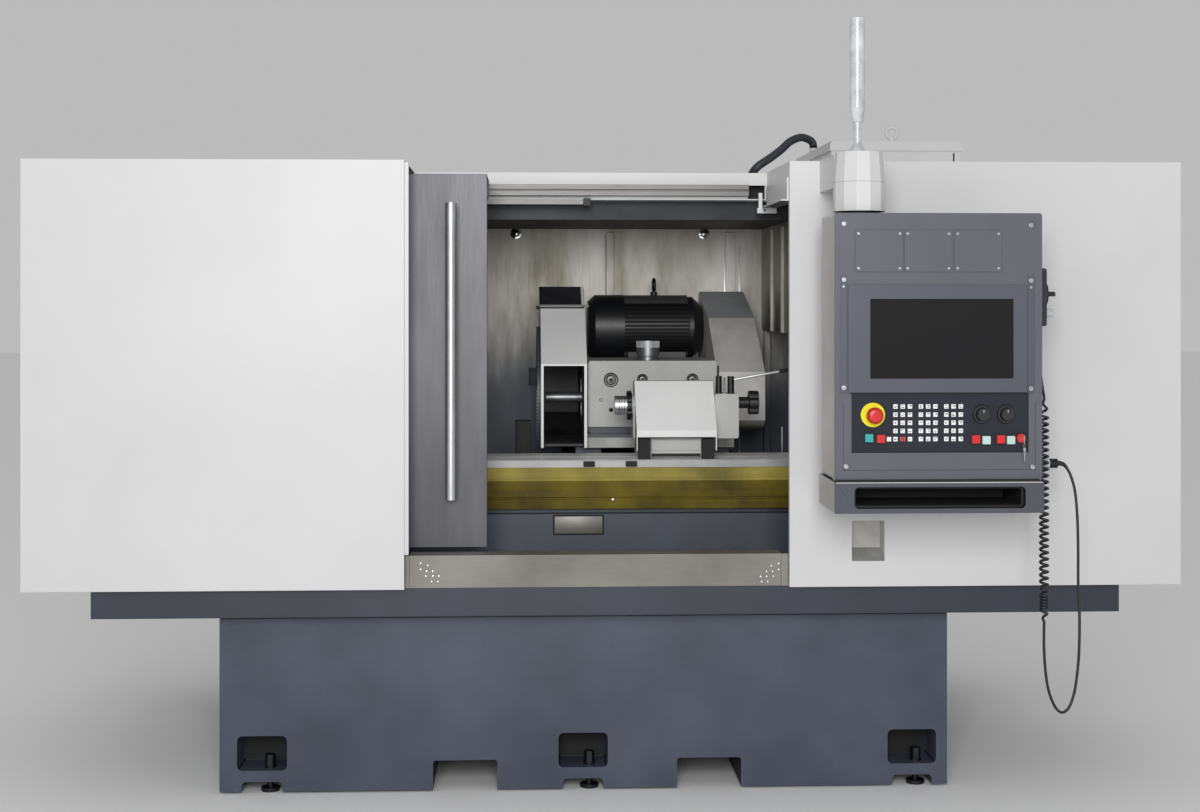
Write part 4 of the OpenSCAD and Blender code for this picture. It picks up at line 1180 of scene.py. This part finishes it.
@dataclass
class WheelHead:
    """Wheelhead, guard, spindle, belt drive and motor."""

    face: float = 0.246
    recesses: tuple[Point, ...] = ((0.048, 1.066, 0.022), (0.1455, 1.068, 0.016), (0.301, 1.067, 0.018))
    oil_cap: tuple[float, float] = (0.166, 0.300)
    knurl_radius: float = 0.0354
    knurls: int = 48
    handle: tuple[float, float] = (-0.1975, 0.252)
    motor_axis: tuple[float, float] = (0.690, 1.222)
    fins: tuple[float, float] = (0.112, 0.3255)
    fin_foot: float = 0.1052

    def casting(self) -> None:
        """Dress the casting, its dark foot band, its oil cap and its sunk screws, with painted shade in the
        recesses, the screw sockets and a hole.
        """
        refine_all(
            "wheelhead",
            ("wheelhead_slide", CAST_GREY, 1.5),
            ("wheelhead_casting", HEAD_PAINT, 3.0,
             (BAND_DARK, (-0.03, 0.24, 0.895), (0.38, 0.2555, 0.9225)),
             (DULL_STEEL, (0.12, 0.25, 1.1255), (0.21, 0.35, 1.19))),
        )
        with making("slide_band", BAND_DARK, "wheelhead") as bm:
            add_block(bm, (-0.0278, 0.2354, 0.8885), (0.4298, 0.2361, 0.8998))
        x, y = self.oil_cap
        with making("oil_cap_knurl", DULL_STEEL, "wheelhead") as bm:
            for k in range(self.knurls):
                angle = 2 * math.pi * k / self.knurls
                way = Vector((math.cos(angle), math.sin(angle), 0))
                add_round(bm, Vector((x, y, 1.165)) + way * self.knurl_radius, UP, 0.0014, 0.02, sides=5)
            add_round(bm, (x, y, 1.1605), UP, 0.0364, 0.0015, sides=48)
        face = self.face
        with (making("recess_rims", BLACK_STEEL_AND_SHADE, "wheelhead") as rims,
              making("recess_screws", CAST_GREY, "wheelhead") as heads,
              making("recess_sockets", RUBBER_BLACK_AND_SHADE, "wheelhead") as pits):
            # The dark rims, sockets and hole are painted shade
            for x, z, r in self.recesses:
                ring(rims, (x, face, z), FRONT, r - 0.001, 0.0016)
                ring(rims, (x, face + 0.006, z), FRONT, r * 0.66, 0.0014)
                add_round(heads, (x, face + 0.0135, z), FRONT, r * 0.5, 0.008, sides=28, edge=0.001)
                add_round(pits, (x, face + 0.0055, z), FRONT, r * 0.26, 0.0008, sides=6)
            add_round(pits, (0.0485, face + 0.004, 0.973), FRONT, 0.0063, 0.0015, sides=24)
            ring(rims, (0.0176, face, 1.004), FRONT, 0.0045, 0.0009)

    def guard(self) -> None:
        """Dress the wheel guard: painted shade inside and on its left side, a painted dark reflection on the
        cap, white outside, with the cap's bright edges and knob.
        """
        refine(
            # The guard's white is brighter than the outer sheets: painted light
            "wheel_guard", HEAD_WHITE, 1.0, "wheelhead",
            # Painted shade inside the guard
            (GUARD_INSIDE_SHADE, (-0.1615, 0.176, 0.85), (-0.0365, 0.76, 1.3495)),
            (HEAD_WHITE, (-0.17, 0.17, 1.10), (-0.028, 0.40, 1.30), (0, -0.65, 0.76)),
            (HEAD_WHITE, (-0.17, 0.17, 1.10), (-0.028, 0.18, 1.13), FRONT),
            # Painted dark reflection on the cap
            (GUARD_INSIDE_SHADE, (-0.175, 0.364, 1.284), (-0.0295, 0.56, 1.36)),
            # Painted shade on the guard's left side
            (BAND_DARK, (-0.181, 0.22, 0.77), (-0.1685, 0.69, 1.24)),
        )
        slope = Vector((0, 0.118, 0.065)).normalized()
        up = Vector((0, -slope.z, slope.y))
        foot = Vector((0, 0.3657, 1.2912)) + up * 0.0002
        for name, finish, x0, x1, run in (("guard_cap_lip", HEAD_PAINT, -0.173, -0.016, 0.012),
                                          ("guard_cap_edge", HEAD_WHITE, -0.0385, -0.0298, 0.134)):
            corners = [foot + slope * way + up * lift for way in (0, run) for lift in (0, 0.0012)]
            with making(name, finish, "wheelhead") as bm:
                verts = [bm.verts.new((x, c.y, c.z)) for x in (x0, x1) for c in corners]
                bmesh.ops.convex_hull(bm, input=verts)
        with making("guard_cap_knob", GRIP_BLACK, "wheelhead") as bm:
            add_round(bm, (-0.172, 0.364, 1.2895), LEFT, 0.006, 0.010, sides=20, edge=0.002)

    def bow_handle(self) -> None:
        """Add the guard's bow handle: two feet, a grip, its base and a dark plate of painted shade inside the
        bow.
        """
        x, y = self.handle
        root = -0.1795
        with making("guard_bow_handle_and_shade", RUBBER_BLACK_AND_SHADE, "wheelhead") as bm:
            for z in (1.0525, 1.1005):
                add_block(bm, (x - 0.007, y - 0.004, z - 0.003), (root, y + 0.004, z + 0.003), 0.001)
            add_block(bm, (x - 0.009, y - 0.004, 1.0495), (x - 0.003, y + 0.004, 1.1035), 0.001)
            add_block(bm, (-0.184, y - 0.01, 1.045), (root, y + 0.01, 1.108), 0.001)
            # Painted shade: a dark plate filling the bow
            add_block(bm, (x - 0.005, y + 0.0005, 1.0535), (root, y + 0.003, 1.0995))

    def darken_gaps(self, motor: Object) -> None:
        """Paint shade into the deep gaps between the motor's fins, in black.

        Args:
            motor: The motor's piece.
        """
        mesh = motor.data
        mesh.materials.append(RUBBER_BLACK_AND_SHADE.build())
        index = mesh.materials.find(RUBBER_BLACK_AND_SHADE.name)
        for poly in mesh.polygons:
            x, y, z = poly.center - Vector((0.0, *self.motor_axis))
            if self.fins[0] < x < self.fins[1] and math.hypot(y, z) < self.fin_foot:
                poly.material_index = index

    def build(self) -> None:
        """Dress the wheelhead and its drive."""
        self.casting()
        self.guard()
        self.bow_handle()
        refine("wheel_spindle", DULL_STEEL, 1.0, "wheel_spindle")
        # The belt guard's grey is lightened: painted light
        refine("belt_guard", BELT_GREY, 2.0, "wheelhead",
               # Painted shade on the belt guard's top
               (BELT_DARK, (0.37, 0.40, 1.20), (0.53, 0.81, 1.35), (0, -0.284, 0.959)))
        self.darken_gaps(refine("drive_motor", MOTOR_BLACK, 0.8, "wheelhead"))
        refine("motor_rotor", BLACK_STEEL_AND_SHADE, 0.8, "rotor")
        dress("drive_belt", BELT_RUBBER)


@dataclass
class Pendant:
    """Operator pendant with its controls."""

    face: float = -0.932
    panel: float = -0.929
    plate_x: tuple[float, float] = (0.558, 1.0345)
    plate_foot: float = 0.895
    knob_x: tuple[float, float] = (0.902, 0.962)
    knob_z: float = 1.032
    scale_deg: range = range(-135, 136, 27)
    scale_radius: float = 0.0265
    key_groups: Point = (0.688, 0.751, 0.814)
    key_foot: float = 0.9715
    key_pitch: tuple[float, float] = (0.018, 0.020)
    caps: tuple[tuple[str, Finish, str], ...] = (
        ("button_teal", SIGNAL_TEAL, "teal_key"),
        ("button_red", SIGNAL_RED, "red_key"),
        ("button_stop_left", SIGNAL_RED, "left_stop_key"),
        ("button_lamp_left", LAMP_PALE, "left_lamp_key"),
        ("button_stop_right", SIGNAL_RED, "right_stop_key"),
        ("button_lamp_right", LAMP_PALE, "right_lamp_key"),
        ("knob_left", GRIP_BLACK, "left_knob"),
        ("knob_right", GRIP_BLACK, "right_knob"),
        ("estop_button", SIGNAL_RED, "estop_head"),
        ("pulse_dial", GRIP_BLACK, "dial"),
    )

    def case(self) -> None:
        """Dress the case, its hub, its covers, the tray and the hand unit."""
        refine("swivel_hub", GUARD_WHITE, 1.2, "pendant",
               (RUBBER_BLACK_AND_SHADE, (0.55, -0.91, 1.5265), (0.68, -0.78, 1.5345)), crease=25)
        refine_all(
            "pendant",
            ("pendant_case", PENDANT_GREY, 1.5,
             (PALE_SIDE_AND_HIGHLIGHT, (0.53, -0.935, 0.86), (0.545, -0.73, 1.53), LEFT)),
            ("blank_covers", PENDANT_GREY, 0.8),
            ("case_screws", SCREW_BRIGHT, 0.8),
            ("screen_bezel", PLATE_GREY, 0.8),
            ("tray_box", TRAY_GREY, 1.5,
             (PALE_SIDE_AND_HIGHLIGHT, (0.52, -0.96, 0.78), (0.56, -0.72, 0.87), LEFT),
             # Painted shade in the tray's slot
             (RUBBER_BLACK_AND_SHADE, (0.5835, -0.9485, 0.8025), (1.0065, -0.755, 0.8555))),
            ("pulse_unit", GRIP_BLACK, 1.0,
             (LAMP_GREY, (1.0785, -0.86, 1.265), (1.11, -0.83, 1.295)),
             (BLACK_STEEL_AND_SHADE, (1.05, -0.84, 0.87), (1.13, -0.79, 0.93))),
        )
        dress("screen_glass", SCREEN_GLASS)
        with making("lead_socket_collar", LAMP_GREY, "pendant") as bm:
            add_round(bm, (1.0825, -0.815, 0.900), RIGHT, 0.0127, 0.0205, sides=28, edge=0.0008)

    def seams_and_shadows(self) -> None:
        """Add the painted shadow lines, the lower plate's seams and the painted highlight that divide the
        pendant's front.
        """
        low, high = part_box("operator_panel")
        tray_low, tray_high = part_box("tray_box")
        face, wide, thin, proud = self.face, 0.0014, 0.0009, 0.0003
        left, right = self.plate_x
        foot = self.plate_foot
        # Painted shadow lines round the panel and over the tray, and the lower plate's seams
        with making("pendant_seams_and_shadows", RUBBER_BLACK_AND_SHADE, "pendant") as bm:
            for x0, x1, z0, z1 in (
                (low[0] - wide, low[0], low[2] - wide, high[2] + wide),
                (high[0], high[0] + wide, low[2] - wide, high[2] + wide),
                (low[0] - wide, high[0] + wide, low[2] - wide, low[2]),
                (low[0] - 0.006, high[0] + 0.004, high[2], high[2] + 0.0034),
                (tray_low[0] + 0.006, tray_high[0] - 0.006, tray_high[2] + 0.0005, tray_high[2] + 0.005),
                (left, left + thin, foot, low[2] + 0.12),
                (right, right + thin, foot, low[2] + 0.12),
                (left, right + thin, foot, foot + thin),
            ):
                add_block(bm, (x0, face - proud, z0), (x1, face, z1))
        # Painted highlight along the tray's top edge
        with making("tray_painted_highlight", PALE_SIDE_AND_HIGHLIGHT, "pendant") as bm:
            add_block(bm, (tray_low[0] + 0.004, tray_low[1] - proud, tray_high[2] - 0.0026),
                      (tray_high[0] - 0.004, tray_low[1], tray_high[2] - 0.0008))

    def keys(self) -> None:
        """Dress the keys and print their dark marks."""
        refine("operator_panel", PANEL_FILM, 0.4, "pendant")
        refine("membrane_keys", KEY_WHITE, 0.4, "pendant",
               (SIGNAL_RED, (0.701, -0.94, 0.965), (0.711, -0.92, 0.978)))
        chance = random.Random(11)
        face, thin = self.panel - 0.0016, 0.0002
        across, upward = self.key_pitch
        places = [(group + across * column, self.key_foot + upward * row)
                  for group in self.key_groups for column in range(3) for row in range(5)]
        with making("key_marks", INK_DARK, "pendant") as bm:
            for x, z in places:
                for _ in range(3):
                    wide, high = chance.uniform(0.0012, 0.006), chance.uniform(0.0009, 0.0016)
                    dx = chance.uniform(-0.004, 0.004 - wide)
                    dz = chance.uniform(-0.0038, 0.003)
                    add_block(bm, (x + dx, face - thin, z + dz), (x + dx + wide, face + thin, z + dz + high))

    def controls(self) -> None:
        """Dress the push buttons, knobs, stop button and key switch."""
        refine("estop_ring", SIGNAL_YELLOW, 0.6, "pendant")
        for node, finish, body in self.caps:
            refine(node, finish, 0.8, body)
        refine("switch_key", SIGNAL_RED, 0.5, "mode_key",
               (CHROME, (0.98, -0.99, 0.95), (1.02, -0.9412, 1.0)))
        panel, z = self.panel, self.knob_z
        with (making("knob_scales", PLATE_GREY, "pendant") as marks,
              making("knob_rims", BLACK_STEEL_AND_SHADE, "pendant") as rims):
            for x in self.knob_x:
                ring(rims, (x, panel - 0.0006, z), FRONT, 0.0235, 0.0007)
                for angle in map(math.radians, self.scale_deg):
                    dx, dz = self.scale_radius * math.sin(angle), self.scale_radius * math.cos(angle)
                    centre = (x + dx, panel - 0.0002, z + dz)
                    add_round(marks, centre, FRONT, 0.0005, 0.0004, sides=8)
        for body, x in zip(("left_knob", "right_knob"), self.knob_x):
            with making(body + "_pointer", LAMP_GREY, body) as bm:
                low, high = (x - 0.0008, panel - 0.0226, z + 0.005), (x + 0.0008, panel - 0.0218, z + 0.012)
                add_block(bm, low, high)

    def spare_key(self) -> None:
        """Hang the second key of the ring under the key switch."""
        with making("spare_key", DULL_STEEL, "pendant") as bm:
            ring(bm, (0.998, -0.963, 0.957), (1, 0, 0.2), 0.0075, 0.0007)
            add_block(bm, (0.9963, -0.9655, 0.935), (1.0027, -0.9637, 0.952), 0.0006)
            add_block(bm, (0.9979, -0.9653, 0.918), (1.0011, -0.9639, 0.936), 0.0003)

    def build(self) -> None:
        """Dress the pendant, its hub and its controls."""
        self.case()
        self.seams_and_shadows()
        self.keys()
        self.controls()
        self.spare_key()


def main() -> None:
    """Build the scene in order: studio, cords, then each sub-assembly."""
    logging.basicConfig(level=logging.INFO, format="%(name)s: %(message)s")
    random.seed(7)
    for part in (Studio(), Cords(), Enclosure(), SlidingDoor(), WorkTable(), WheelHead(), Pendant()):
        part.build()
        LOG.info("built %s", type(part).__name__)


if __name__ == "__main__":
    main()
